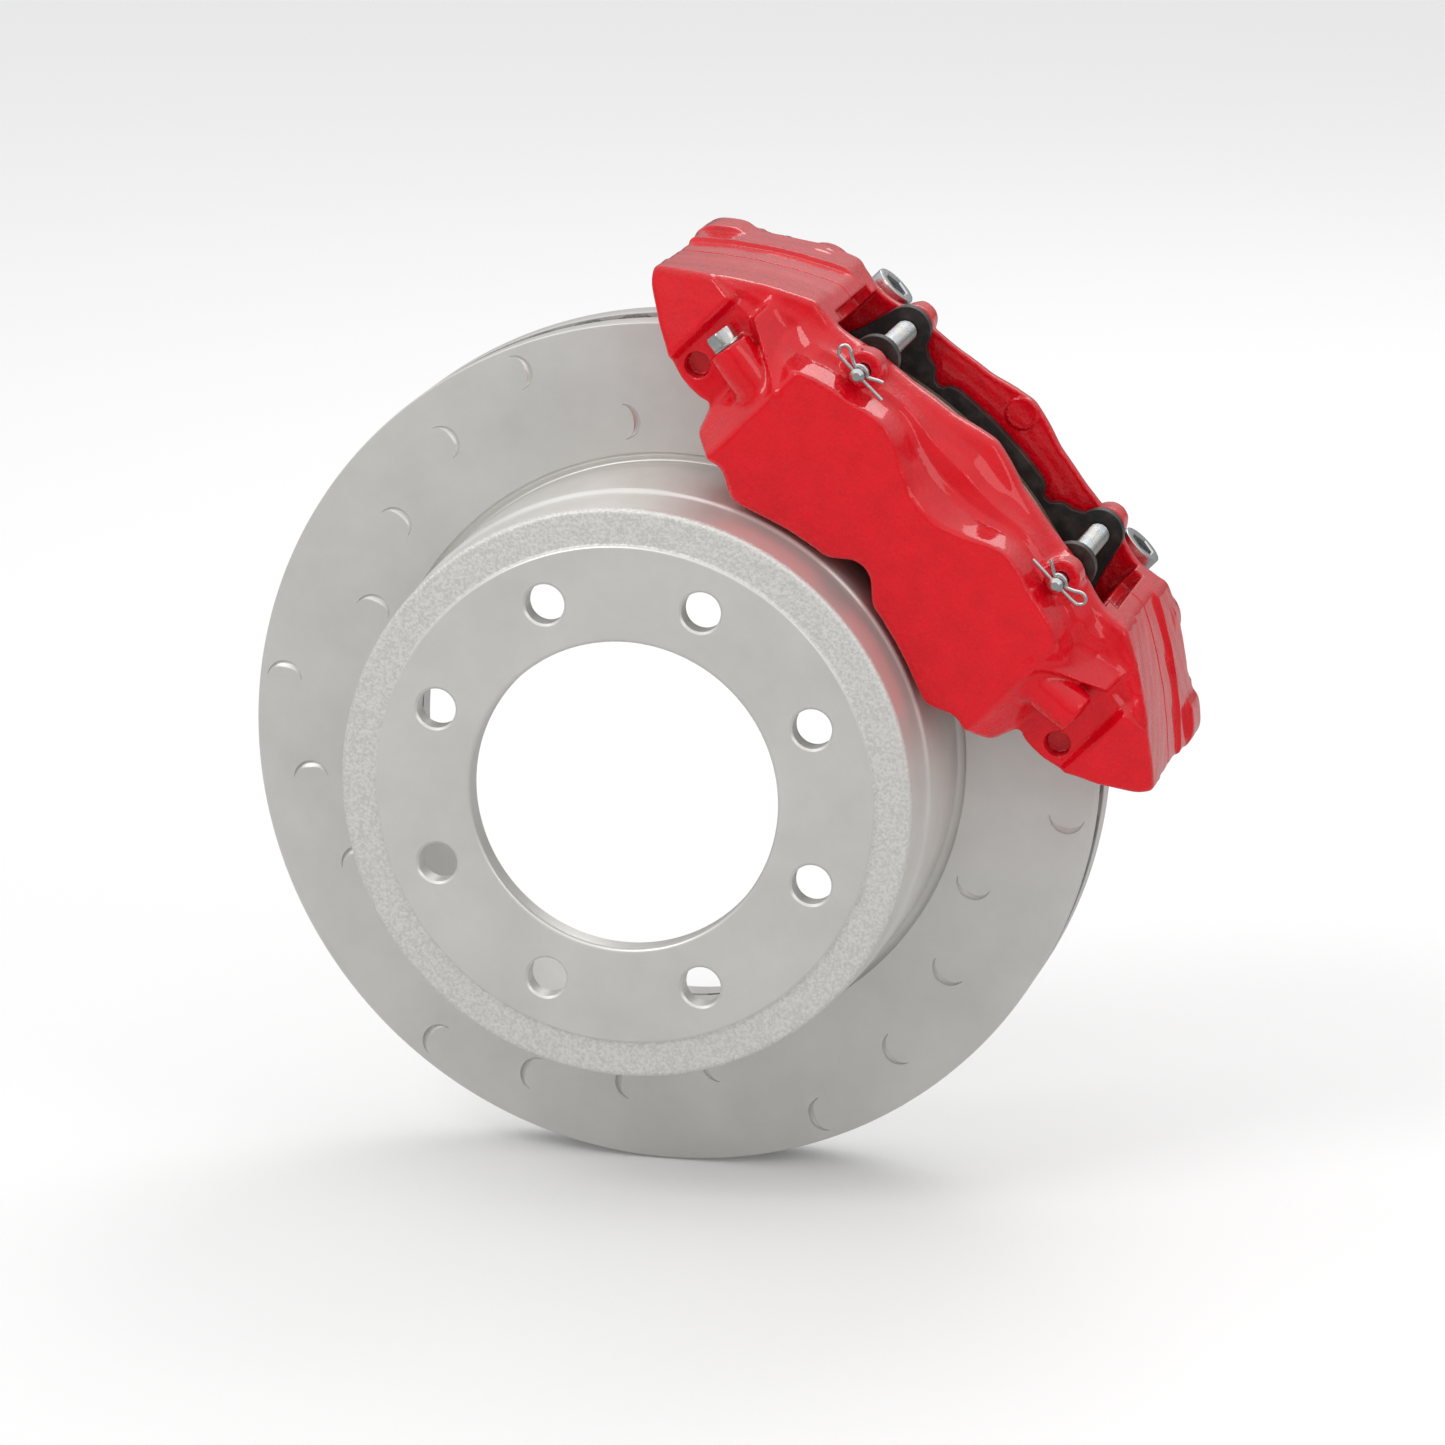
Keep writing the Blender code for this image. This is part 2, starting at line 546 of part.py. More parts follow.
def build_hydraulic_fittings():
    """Bleed screws with their caps, passage plugs, and the seals where fluid crosses the joint."""
    seat = END_W[INBOARD]
    for end_name, end in ENDS.items():
        profile = [(0.0, -14.0), (2.0, -14.0), (4.0, -12.0), (4.0, 0.6), (2.6, 0.6), (2.6, 10.0),
                   (3.1, 11.2), (2.5, 13.6), (0.0, 13.6)]
        screw = lathe("bleed_screw_" + end_name, profile, SMALL_STEPS, PLATED_STEEL, station)
        place_facing(screw, INBOARD, end * BLEED_T, BLEED_N, seat)
        hexed = prism("add_hex_" + screw.name, hexagon(10.0), 0.4, 6.0, "Z")
        hexed.parent = screw
        combine(screw, hexed, "UNION")
        shell = [(3.4, 0.0), (5.6, 0.0), (5.6, 1.6), (5.0, 2.2), (5.0, 5.6), (5.5, 6.2), (5.5, 7.6),
                 (4.2, 10.0), (0.0, 10.6), (0.0, 8.0), (3.4, 7.6)]
        cap = lathe("bleed_cap_" + end_name, shell, SMALL_STEPS, RUBBER, station)
        place_facing(cap, INBOARD, end * BLEED_T, BLEED_N, seat + 6.4)
        ring = [(4.9, 0.35), (4.9, 1.7), (3.1, 1.7), (3.1, 0.35)]
        seal = lathe("crossover_seal_" + end_name, ring, SMALL_STEPS, RUBBER, station)
        place_facing(seal, INBOARD, end * BLEED_T, BLEED_N, 0.0)
    for side_name, side in SIDES.items():
        profile = [(0.0, -6.0), (4.5, -6.0), (4.5, GAP), (6.0, GAP), (6.0, 1.6), (0.0, 1.6)]
        plug = lathe("passage_plug_" + side_name, profile, SMALL_STEPS, PLATED_STEEL, station)
        head = prism("add_hex_" + plug.name, hexagon(10.5), 1.2, 7.0, "Z")
        head.parent = plug
        combine(plug, head, "UNION")
        outwards = Vector((-math.cos(PASSAGE_SLANT), 0.0, math.sin(PASSAGE_SLANT)))
        boss = Vector((-PASSAGE_T, RING_MID_Y + side * (END_W[side] + PASSAGE_RISE), PASSAGE_N))
        plug.location = (boss + outwards * PASSAGE_HALF) * MM
        plug.rotation_euler = (0.0, PASSAGE_SLANT - math.pi / 2, 0.0)


# Pads and their pins

def backing_outline():
    ear = arc(10.0, 170, 10, 8, (PIN_T, PIN_N))
    right = [(0.0, 121.5), (25.0, 119.0), (50.0, 110.8), (66.0, 112.0), (76.4, 118.0),
             (76.4, 153.0), (70.0, 166.0)] + ear[::-1]
    right += [(42.0, 177.6), (35.5, 175.0), (33.5, 173.0), (30.0, 173.2), (28.0, 176.4),
              (14.0, 178.4), (0.0, 179.0)]
    return mirrored(right)


def friction_outline():
    right = [(0.0, 123.4), (25.0, 121.0), (50.0, 112.8), (66.0, 114.5)]
    right += arc_over(173.0, 66.0, 0.001, 6)
    return mirrored(right)


def build_pads():
    for side_name, side in SIDES.items():
        def level(w):
            return RING_MID_Y + side * w

        plate = prism("backing_plate_" + side_name, backing_outline(), level(PLATE_W),
                      level(PLATE_W + PLATE_THICKNESS), material=BLACK_STEEL, parent=station)
        pins = [(end * PIN_T, PIN_N) for end in ENDS.values()]
        holes = rods("cut_ears_" + side_name, pins, PIN_R + 0.5, PLATE_W - 2.0,
                     PLATE_W + PLATE_THICKNESS + 2.0, side)
        combine(plate, holes, "DIFFERENCE")
        prism("friction_pad_" + side_name, friction_outline(), level(FRICTION_W),
              level(FRICTION_W + FRICTION_T), material=FRICTION, parent=station)
        shim = mirrored([(0.0, 124.0), (58.0, 118.0), (62.0, 122.0), (62.0, 156.0), (57.0, 163.0),
                         (0.0, 168.0)])
        prism("pad_shim_" + side_name, shim, level(SHIM_W), level(SHIM_W + SHIM_T),
              material=PLATED_STEEL, parent=station)


def build_pins():
    """Pins through both rails and the pads' ears, with a spring and a hairpin clip on each."""
    clip_at = -PIN_CLIP_W
    for end_name, end in ENDS.items():
        profile = [(0.0, clip_at - 3.5), (PIN_R - 0.6, clip_at - 3.5), (PIN_R, clip_at - 2.9),
                   (PIN_R, 57.3), (5.2, 57.3), (5.2, 61.5), (4.0, 63.2), (0.0, 63.6)]
        pin = lathe("retaining_pin_" + end_name, profile, SMALL_STEPS, PLATED_STEEL, station)
        place_facing(pin, INBOARD, end * PIN_T, PIN_N, 0.0)
        mesh_data = bmesh.new()
        cross = [(0.0, -6.0), (1.1, -6.0), (1.1, 6.0), (0.0, 6.0)]
        add_lathe(mesh_data, cross, 8, Matrix.Translation((0.0, 0.0, clip_at))
                  @ Matrix.Rotation(math.pi / 2, 4, "Y"))
        hole = finish_mesh(mesh_data, "cut_clip_hole_" + end_name)
        hole.parent = pin
        combine(pin, hole, "DIFFERENCE")
        build_spring(end_name, end)
        build_clip(end_name, end)


def wire(name, points, radius, cyclic=False):
    """Round wire through points in mm, as a bevelled curve with filled ends."""
    curve = bpy.data.curves.new(name, "CURVE")
    curve.dimensions = "3D"
    curve.bevel_depth = radius * MM
    curve.bevel_resolution = 0
    curve.use_fill_caps = True
    spline = curve.splines.new("POLY")
    spline.points.add(len(points) - 1)
    for point, place in zip(spline.points, points):
        point.co = (place[0] * MM, place[1] * MM, place[2] * MM, 1.0)
    piece = bpy.data.objects.new(name, curve)
    bpy.context.scene.collection.objects.link(piece)
    curve.materials.append(PLATED_STEEL)
    piece.parent = station
    return piece


def build_spring(end_name, end):
    half = PLATE_W - 1.2
    count = SPRING_TURNS * SPRING_POINTS
    points = []
    for index in range(count + 1):
        angle = 2 * math.pi * index / SPRING_POINTS
        along = -half + 2 * half * index / count
        points.append((SPRING_R * math.cos(angle), along, SPRING_R * math.sin(angle)))
    spring = wire("pin_spring_" + end_name, points, SPRING_WIRE_R)
    spring.location = Vector((end * PIN_T, RING_MID_Y, PIN_N)) * MM


def build_clip(end_name, end):
    """Hairpin: a straight leg through the pin's end and a bowed leg round the outside."""
    bow = arc(4.2, 150, 40, 5)
    path = [(13.0, 0.0), (-8.0, 0.0), (-11.5, 0.8), (-12.6, 3.0), (-11.0, 4.9), (-8.0, 4.2),
            (-5.2, 2.9)] + bow + [(6.0, 4.2), (8.5, 5.0)]
    points = [(-end * u, 0.0, v) for u, v in path]
    clip = wire("pin_clip_" + end_name, points, 0.75)
    clip.location = Vector((end * PIN_T, RING_MID_Y - PIN_CLIP_W, PIN_N)) * MM


# Bracket

def build_bracket():
    """Machined bar that bolts to the axle through its ears and carries the caliper on its blocks."""
    def n_of(height):
        return BRACKET_BASE_N + height

    def level(depth):
        return RING_MID_Y + BRACKET_FRONT_W + depth

    def in_place(outline):
        return [(s, n_of(z)) for s, z in outline]

    right = [(0.001, BAR_BOTTOM), (50.0, BAR_BOTTOM), (88.0, 0.0), (121.0, 0.0), (129.5, 5.0),
             (BRACKET_HALF, 14.8), (BRACKET_HALF, EAR_TOP), (80.0, EAR_TOP), (78.0, 36.0),
             (78.0, 29.6), (76.0, TROUGH_TOP), (0.001, TROUGH_TOP)]
    bracket = prism("mounting_bracket", mirrored(in_place(right)), level(0.0),
                    level(BRACKET_DEPTH), material=BRACKET_STEEL, parent=station)
    wall = in_place([(-70.0, TROUGH_TOP - 5.0), (70.0, TROUGH_TOP - 5.0), (70.0, WALL_TOP),
                     (-70.0, WALL_TOP)])
    combine(bracket, prism("add_wall", wall, level(WALL_DEPTH), level(BRACKET_DEPTH),
                           parent=station), "UNION")
    round_r = (BRACKET_DEPTH - BLOCK_DEPTH) / 2
    for end_name, end in ENDS.items():
        centre = (MOUNT_T + 0.5, level(BLOCK_DEPTH + round_r))
        plan = arc(round_r, 270, 90, 8, centre)
        plan += [(BLOCK_END, level(BRACKET_DEPTH)), (BLOCK_END, level(BLOCK_DEPTH))]
        plan = [(end * s, y) for s, y in plan]
        block = prism("add_block_" + end_name, plan, n_of(TROUGH_TOP - 5.0),
                      n_of(BRACKET_HEIGHT), "Z", parent=station)
        combine(bracket, block, "UNION")
        pocket = [(66.0, -6.0), (104.0, 27.0), (110.0, 31.0), (118.0, 32.6), (126.0, 31.0),
                  (140.0, 24.0), (140.0, -6.0)]
        pocket = [(end * s, z) for s, z in in_place(pocket)]
        combine(bracket, prism("cut_rear_pocket_" + end_name, pocket, level(EAR_PLATE_T),
                               level(BRACKET_DEPTH + 5.0), parent=station), "DIFFERENCE")
    holes = [(end * AXLE_HOLE_S, n_of(AXLE_HOLE_Z)) for end in ENDS.values()]
    combine(bracket, rods("cut_axle_holes", holes, AXLE_HOLE_R, BRACKET_FRONT_W - 5.0,
                          BRACKET_FRONT_W + EAR_PLATE_T + 5.0, INBOARD, ROUND_STEPS),
            "DIFFERENCE")
    mesh_data = bmesh.new()
    for end in ENDS.values():
        centre = (end * MOUNT_T, RING_MID_Y + MOUNT_W)
        add_prism(mesh_data, circle(BOLT_R + GAP, centre, SMALL_STEPS), n_of(-5.0),
                  n_of(BRACKET_HEIGHT + 5.0), "Z")
    combine(bracket, finish_mesh(mesh_data, "cut_mount_threads", parent=station), "DIFFERENCE")


build_disc()
for half_name, half_side in SIDES.items():
    build_half(half_name, half_side)
build_bridge_bolts()
build_mounting()
build_pistons()
build_hydraulic_fittings()
build_pads()
build_pins()
build_bracket()
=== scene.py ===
"""Looks for the four-piston caliper on its vented disc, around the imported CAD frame.

The caliper's pieces are made in its own frame: X is t, along the caliper, Y is w, the distance
from the disc's middle plane (minus is the wheel side), and Z is n, the distance out from the
disc's axis. CALIPER_PLACE turns that frame into the world. All sizes are in mm unless a name
says otherwise.
"""
import math

import bmesh
import bpy
import numpy as np
from mathutils import Matrix, Vector


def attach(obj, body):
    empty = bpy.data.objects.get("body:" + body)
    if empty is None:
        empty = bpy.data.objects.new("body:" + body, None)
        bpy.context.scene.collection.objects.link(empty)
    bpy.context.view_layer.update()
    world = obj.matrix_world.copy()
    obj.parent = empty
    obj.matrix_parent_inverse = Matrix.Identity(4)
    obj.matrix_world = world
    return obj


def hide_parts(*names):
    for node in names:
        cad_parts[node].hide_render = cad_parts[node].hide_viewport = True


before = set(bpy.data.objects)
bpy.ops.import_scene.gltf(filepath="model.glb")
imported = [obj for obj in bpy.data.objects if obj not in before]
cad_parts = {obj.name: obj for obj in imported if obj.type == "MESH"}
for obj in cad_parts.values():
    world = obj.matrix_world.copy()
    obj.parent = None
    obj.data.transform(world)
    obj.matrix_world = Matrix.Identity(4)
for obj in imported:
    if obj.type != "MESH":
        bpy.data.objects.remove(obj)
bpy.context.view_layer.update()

MM = 0.001
SIDES = {"outboard": -1, "inboard": 1}
ENDS = {"left": -1, "right": 1}
RING_MID_Y = 91.0
CALIPER_PLACE = (Matrix.Rotation(math.radians(45.0), 4, "Y")
                 @ Matrix.Translation((0.0, RING_MID_Y * MM, 0.0)))

# Disc
DISC_R = 175.0
RING_T = 36.0
PLATE_T = 12.2
VANE_COUNT = 54
VANE_T = 6.4
VENT_STEPS = 24
VENT_SQUARENESS = 0.42   # 1 is an ellipse, and 0 is a rectangle
HAT_PLATE_T = 10.0
HAT_R = 117.7
HAT_NOSE_R = 116.0
WHEEL_FACE_R = 101.0
HUB_BORE_R = 62.45
STUD_CIRCLE_R = 165.1 / 2
STUD_COUNT = 8
STUD_HOLE_R = 8.0
RING_OUT_Y = RING_MID_Y - RING_T / 2
RING_IN_Y = RING_MID_Y + RING_T / 2
CAVITY_R = 107.7
RING_BORE_R = 111.0
CRESCENT_RADII = (164.5, 154.0, 144.5, 135.0)
CRESCENT_GROUPS = 6
CRESCENT_START = 51.5
CRESCENT_R = 7.4
CRESCENT_DEPTH = 1.3
CRESCENT_END = 86.0      # degrees each way; the width would run out at CRESCENT_FADE
CRESCENT_FADE = 88.0

# Caliper
HALF_LENGTH = 146.0
WINDOW_T = 77.0
BRIDGE_IN_R = 179.0
CAST_R = {"outboard": 201.9, "inboard": 202.8}
BAND_R = 201.2
BAND_W = 20.5
BOLT_BOSS_R = 205.4
BOLT_RING_R = 13.2
LEG_W = 22.0
CHEEK_IN_W = 38.0
CHEEK_W = 72.0
CREST_W = 44.5
END_W = {"outboard": 52.0, "inboard": 56.0}
LUG_N = 114.3
LUG_TOP_N = 176.0
LUG_R = 12.6
PISTON_T = 35.4
PISTON_N = 141.0
PISTON_R = 21.0
PISTON_NOSE_W = 36.2
PISTON_LENGTH = 24.8
BOOT_R = 25.0
SEAL_R = 23.9
SEAL_W = (50.3, 53.3)
CIRCLE_N = 133.0         # two thin circles on the inboard face
CIRCLE_R = 10.6
FRICTION_W = (18.5, 29.0)
BACKING_W = (29.3, 34.8)
SHIM_W = (35.1, 35.9)
PIN_T = 56.5
PIN_N = 179.0
PIN_R = 3.0
PIN_BOSS_R = 7.8
PIN_SEAT_W = 57.0
PIN_CLIP_W = 65.2
SPRING_HALF = 27.8
SPRING_R = 4.2
SPRING_WIRE_R = 0.57
SPRING_TURNS = 30
CLIP_WIRE_R = 0.75
BOLT_PLACES = {"outer": (131.0, 142.0), "inner": (96.5, 163.0)}
BOLT_R = 6.0
BOLT_HEAD_R = 9.25
BOLT_HEAD_H = 12.0
BOLT_SEAT_W = 43.3
BLEED = (115.0, 154.5)
INLET_N = 137.0
INLET_R = 10.5
INLET_W = 80.6
INLET_FACE_T = 0.45
DEEP = 90.0
MOUNT_T = 73.0
MOUNT_W = 60.5
BUSH_R = 9.3
BUSH_TOP_N = 166.0
PASSAGE = (84.0, 144.5)
PASSAGE_R = 9.0
PASSAGE_HALF = 16.0
PASSAGE_SLANT = math.radians(8.0)
PASSAGE_RISE = 6.5
WEDGE_T = (71.0, 101.0)  # the wedge above the passage starts and ends here
DIMPLE = (103.5, 129.5)  # blind hole in each end of the outboard half
DIMPLE_R = 5.2
CAST_SPOT_N = 188.0      # round pad inside the window, at its middle
CAST_SPOT_R = 6.6

# Bracket
BRACKET_FRONT_W = MOUNT_W - 41.0
BLOCK_TOP = 49.5
BLOCK_ROUND_R = 14.5
BRACKET_HALF = 134.0
BLOCK_HALF = 131.0
BRACKET_DEPTH = 58.0
BRACKET_BASE_N = LUG_N - 0.3 - BLOCK_TOP
AXLE_HOLE = (114.2, 15.6)
AXLE_HOLE_R = 8.05
AXLE_THREAD_PITCH = 2.0
MOUNT_HOLE_R = 6.3
BRACKET_LOWER = [(0, 12.3), (49, 12.3), (88, 0.0), (119, 0.0), (125, 1.2), (130, 5.2),
                 (133, 10.5), (134, 15)]
POCKET_DEPTH = 20.0

VOXEL = 0.9
THREAD_LEVELS = 5        # rings a turn in the inlet's thread


# Materials

class Nodes:
    """Adds nodes to one tree. Values are sockets, numbers, or tuples for points and colours."""

    def __init__(self, tree):
        self.tree = tree

    def feed(self, socket, value):
        if isinstance(value, bpy.types.NodeSocket):
            self.tree.links.new(value, socket)
        elif socket.type == "RGBA":
            socket.default_value = (*value, 1.0)
        else:
            socket.default_value = value

    def add(self, kind, settings=None, **inputs):
        node = self.tree.nodes.new(kind)
        for key, value in (settings or {}).items():
            setattr(node, key, value)
        for key, value in inputs.items():
            self.feed(node.inputs[key.replace("_", " ")], value)
        return node

    def point(self, scale=(1.0, 1.0, 1.0)):
        """Object coordinates in mm, stretched by scale."""
        place = self.add("ShaderNodeTexCoord").outputs["Object"]
        return self.add("ShaderNodeMapping", Vector=place,
                        Scale=[s / MM for s in scale]).outputs["Vector"]

    def split(self, vector):
        node = self.add("ShaderNodeSeparateXYZ", Vector=vector)
        return node.outputs[0], node.outputs[1], node.outputs[2]

    def noise(self, point, size, detail=2.0, rough=0.5):
        """Noise with features about size mm across."""
        return self.add("ShaderNodeTexNoise", Vector=point, Scale=1.0 / size, Detail=detail,
                        Roughness=rough).outputs["Fac"]

    def math(self, operation, first, second=0.0):
        node = self.add("ShaderNodeMath", {"operation": operation})
        self.feed(node.inputs[0], first)
        self.feed(node.inputs[1], second)
        return node.outputs[0]

    def plus(self, first, second):
        return self.math("ADD", first, second)

    def minus(self, first, second):
        return self.math("SUBTRACT", first, second)

    def times(self, first, second):
        return self.math("MULTIPLY", first, second)

    def size_of(self, value):
        return self.math("ABSOLUTE", value)

    def hypot(self, across, up):
        return self.math("SQRT", self.plus(self.times(across, across), self.times(up, up)))

    def ramp(self, value, low, high, to_low=0.0, to_high=1.0):
        """Map value from low..high to to_low..to_high, held at the ends."""
        return self.add("ShaderNodeMapRange", {"clamp": True}, Value=value, From_Min=low,
                        From_Max=high, To_Min=to_low, To_Max=to_high).outputs[0]

    def mix(self, share, first, second):
        """Blend of two colours."""
        node = self.add("ShaderNodeMix", {"data_type": "RGBA"})
        for index, value in ((0, share), (6, first), (7, second)):
            self.feed(node.inputs[index], value)
        return node.outputs[2]


class Look(Nodes):
    """A Principled material and the nodes that feed it."""

    def __init__(self, name, colour, roughness, metallic=0.0):
        self.material = bpy.data.materials.new(name)
        self.material.use_nodes = True
        super().__init__(self.material.node_tree)
        self.shader = self.tree.nodes["Principled BSDF"]
        self.set("Base Color", colour)
        self.set("Roughness", roughness)
        self.set("Metallic", metallic)

    def set(self, name, value):
        self.feed(self.shader.inputs[name], value)

    def bump(self, height, distance):
        """Bump of distance mm for a height of 0 to 1."""
        node = self.add("ShaderNodeBump", Height=height, Distance=distance * MM, Strength=1.0)
        self.set("Normal", node.outputs["Normal"])


def red_paint():
    """Gloss red over a sand casting: turned lines on the bridge's back, and sand elsewhere."""
    look = Look("red_paint", (0.60, 0.004, 0.018), 0.32)
    look.set("Specular IOR Level", 0.08)
    look.set("Coat Weight", 1.0)
    look.set("Coat Roughness", 0.07)
    look.set("Coat IOR", 1.45)
    point = look.point()
    t, w, n = look.split(point)
    radius, away = look.hypot(t, n), look.size_of(w)
    turned_back = look.times(look.ramp(radius, 198.0, 198.6),
                             look.ramp(away, BAND_W - 0.1, BAND_W + 0.9, 1.0, 0.0))
    cast_back = look.times(look.ramp(radius, 199.5, 201.5), look.ramp(away, 21.0, 24.0))
    patch = look.ramp(look.noise(point, 22.0), 0.35, 0.70)
    coarse = look.ramp(look.noise(point, 2.2, 3.0, 0.55), 0.2, 0.8)
    share = look.ramp(look.plus(cast_back, look.times(patch, 0.35)), 0.0, 1.0, 0.55, 1.15)
    share = look.times(share, look.ramp(turned_back, 0.0, 1.0, 1.0, 0.12))
    height = look.plus(look.times(coarse, share), look.times(look.noise(point, 0.9), 0.10))
    lines = look.noise(look.point((0.02, 1.0, 0.02)), 0.55, 3.0, 0.6)
    height = look.plus(height, look.times(look.times(lines, turned_back), 0.12))
    from_centre = look.hypot(look.minus(look.size_of(t), PISTON_T), look.minus(n, CIRCLE_N))
    from_circle = look.size_of(look.minus(from_centre, CIRCLE_R))
    seam = look.times(look.ramp(from_circle, 0.2, 0.7, -1.6, 0.0),
                      look.ramp(w, CHEEK_W - 2.0, CHEEK_W - 1.5))
    look.bump(look.plus(height, seam), 0.80)
    tone = look.ramp(look.noise(point, 9.0, 3.0), 0.3, 0.7)
    look.set("Base Color", look.mix(tone, (0.64, 0.001, 0.008), (0.73, 0.001, 0.011)))
    look.set("Roughness", look.ramp(coarse, 0.2, 0.8, 0.24, 0.38))
    return look.material


def bright_zinc(name="bright_zinc", colour=(0.60, 0.61, 0.62), rough=0.27):
    """Zinc-plated steel, with a faint yellow and blue cast and fine handling scratches."""
    look = Look(name, colour, rough, 1.0)
    tint = look.ramp(look.noise(look.point(), 6.0), 0.35, 0.65)
    cool = tuple(c * k for c, k in zip(colour, (0.93, 0.99, 1.05)))
    warm = tuple(c * k for c, k in zip(colour, (1.05, 1.0, 0.90)))
    look.set("Base Color", look.mix(tint, cool, warm))
    scratch = look.noise(look.point((1.0, 0.12, 1.0)), 0.5, 4.0, 0.65)
    look.set("Roughness", look.ramp(scratch, 0.25, 0.75, rough - 0.07, rough + 0.10))
    look.bump(scratch, 0.03)
    return look.material


def black_rubber():
    """Moulded rubber with a fine grain and a little dust."""
    look = Look("black_rubber", (0.016, 0.016, 0.017), 0.55)
    point = look.point()
    grain = look.noise(point, 0.6, 3.0)
    look.set("Roughness", look.ramp(grain, 0.3, 0.7, 0.46, 0.66))
    dust = look.ramp(look.noise(point, 3.0, 4.0), 0.55, 0.85, 0.0, 0.25)
    look.set("Base Color", look.mix(dust, (0.014, 0.014, 0.015), (0.06, 0.058, 0.055)))
    look.bump(grain, 0.05)
    return look.material


def plate_black():
    """Black stove paint on a stamped plate, thin and a little dusty."""
    look = Look("plate_black", (0.018, 0.017, 0.016), 0.42)
    point = look.point()
    patch = look.ramp(look.noise(point, 7.0, 4.0, 0.6), 0.45, 0.75)
    look.set("Base Color", look.mix(patch, (0.014, 0.013, 0.013), (0.060, 0.050, 0.042)))
    grain = look.noise(point, 0.7, 3.0)
    look.set("Roughness", look.ramp(grain, 0.3, 0.7, 0.32, 0.52))
    look.bump(grain, 0.06)
    return look.material


def pad_compound():
    """Moulded friction compound: dark and specked, with brown sides that turn paler at the disc."""
    look = Look("pad_compound", (0.06, 0.05, 0.045), 0.85)
    point = look.point()
    tone = look.mix(look.ramp(look.noise(point, 2.4, 4.0, 0.6), 0.35, 0.65),
                    (0.040, 0.033, 0.029), (0.115, 0.088, 0.070))
    away = look.size_of(look.split(point)[1])
    side = look.mix(look.ramp(away, 22.6, 23.2), (0.150, 0.126, 0.104), (0.140, 0.078, 0.048))
    tone = look.mix(look.ramp(away, FRICTION_W[0] + 0.2, FRICTION_W[0] + 0.7, 0.0, 0.72), tone, side)
    grains = look.add("ShaderNodeTexVoronoi", {"feature": "F1"}, Vector=point, Scale=1.0 / 0.85)
    pick = look.split(grains.outputs["Color"])[0]
    speck = look.times(look.math("GREATER_THAN", pick, 0.86),
                       look.math("LESS_THAN", grains.outputs["Distance"], 0.36))
    look.set("Base Color", look.mix(speck, tone, (0.42, 0.34, 0.24)))
    look.set("Metallic", look.times(speck, 0.7))
    look.bump(look.plus(look.noise(point, 0.8, 4.0, 0.65), look.times(speck, 0.3)), 0.25)
    return look.material


def milled_steel():
    """Milled bracket steel, plated: cutter lines, a faint film, and threads in the axle holes."""
    look = Look("milled_steel", (0.58, 0.57, 0.55), 0.30, 1.0)
    point = look.point()
    look.set("Base Color", film_colour(look, look.noise(point, 26.0, 3.0, 0.6)))
    lines = look.noise(look.point((0.03, 1.0, 1.0)), 0.45, 3.0, 0.6)
    look.set("Roughness", look.plus(look.ramp(lines, 0.3, 0.7, 0.27, 0.36), look.ramp(
        look.noise(point, 9.0, 3.0), 0.3, 0.7, 0.0, 0.10)))
    t, w, n = look.split(point)
    across = look.minus(look.size_of(t), AXLE_HOLE[0])
    up = look.minus(n, BRACKET_BASE_N + AXLE_HOLE[1])
    turn = look.math("DIVIDE", look.math("ARCTAN2", across, up), 2.0 * math.pi)
    tooth = look.math("PINGPONG", look.plus(look.math("DIVIDE", w, AXLE_THREAD_PITCH), turn), 0.5)
    depth = look.ramp(look.hypot(across, up), AXLE_HOLE_R + 0.25, AXLE_HOLE_R + 0.65, 2.0, 0.0)
    look.bump(look.plus(look.times(lines, 0.04), look.times(tooth, depth)), 0.9)
    return look.material


def film_colour(look, height):
    """Faint colours of a thin passivation film."""
    node = look.add("ShaderNodeValToRGB")
    stops = node.color_ramp
    stops.elements[0].color = (0.70, 0.70, 0.67, 1.0)
    stops.elements[1].color = (0.71, 0.70, 0.69, 1.0)
    for spot, colour in ((0.30, (0.73, 0.715, 0.675)), (0.50, (0.71, 0.69, 0.695)),
                         (0.70, (0.68, 0.70, 0.72))):
        stops.elements.new(spot).color = (*colour, 1.0)
    look.feed(node.inputs["Fac"], look.ramp(height, 0.30, 0.70))
    return node.outputs["Color"]


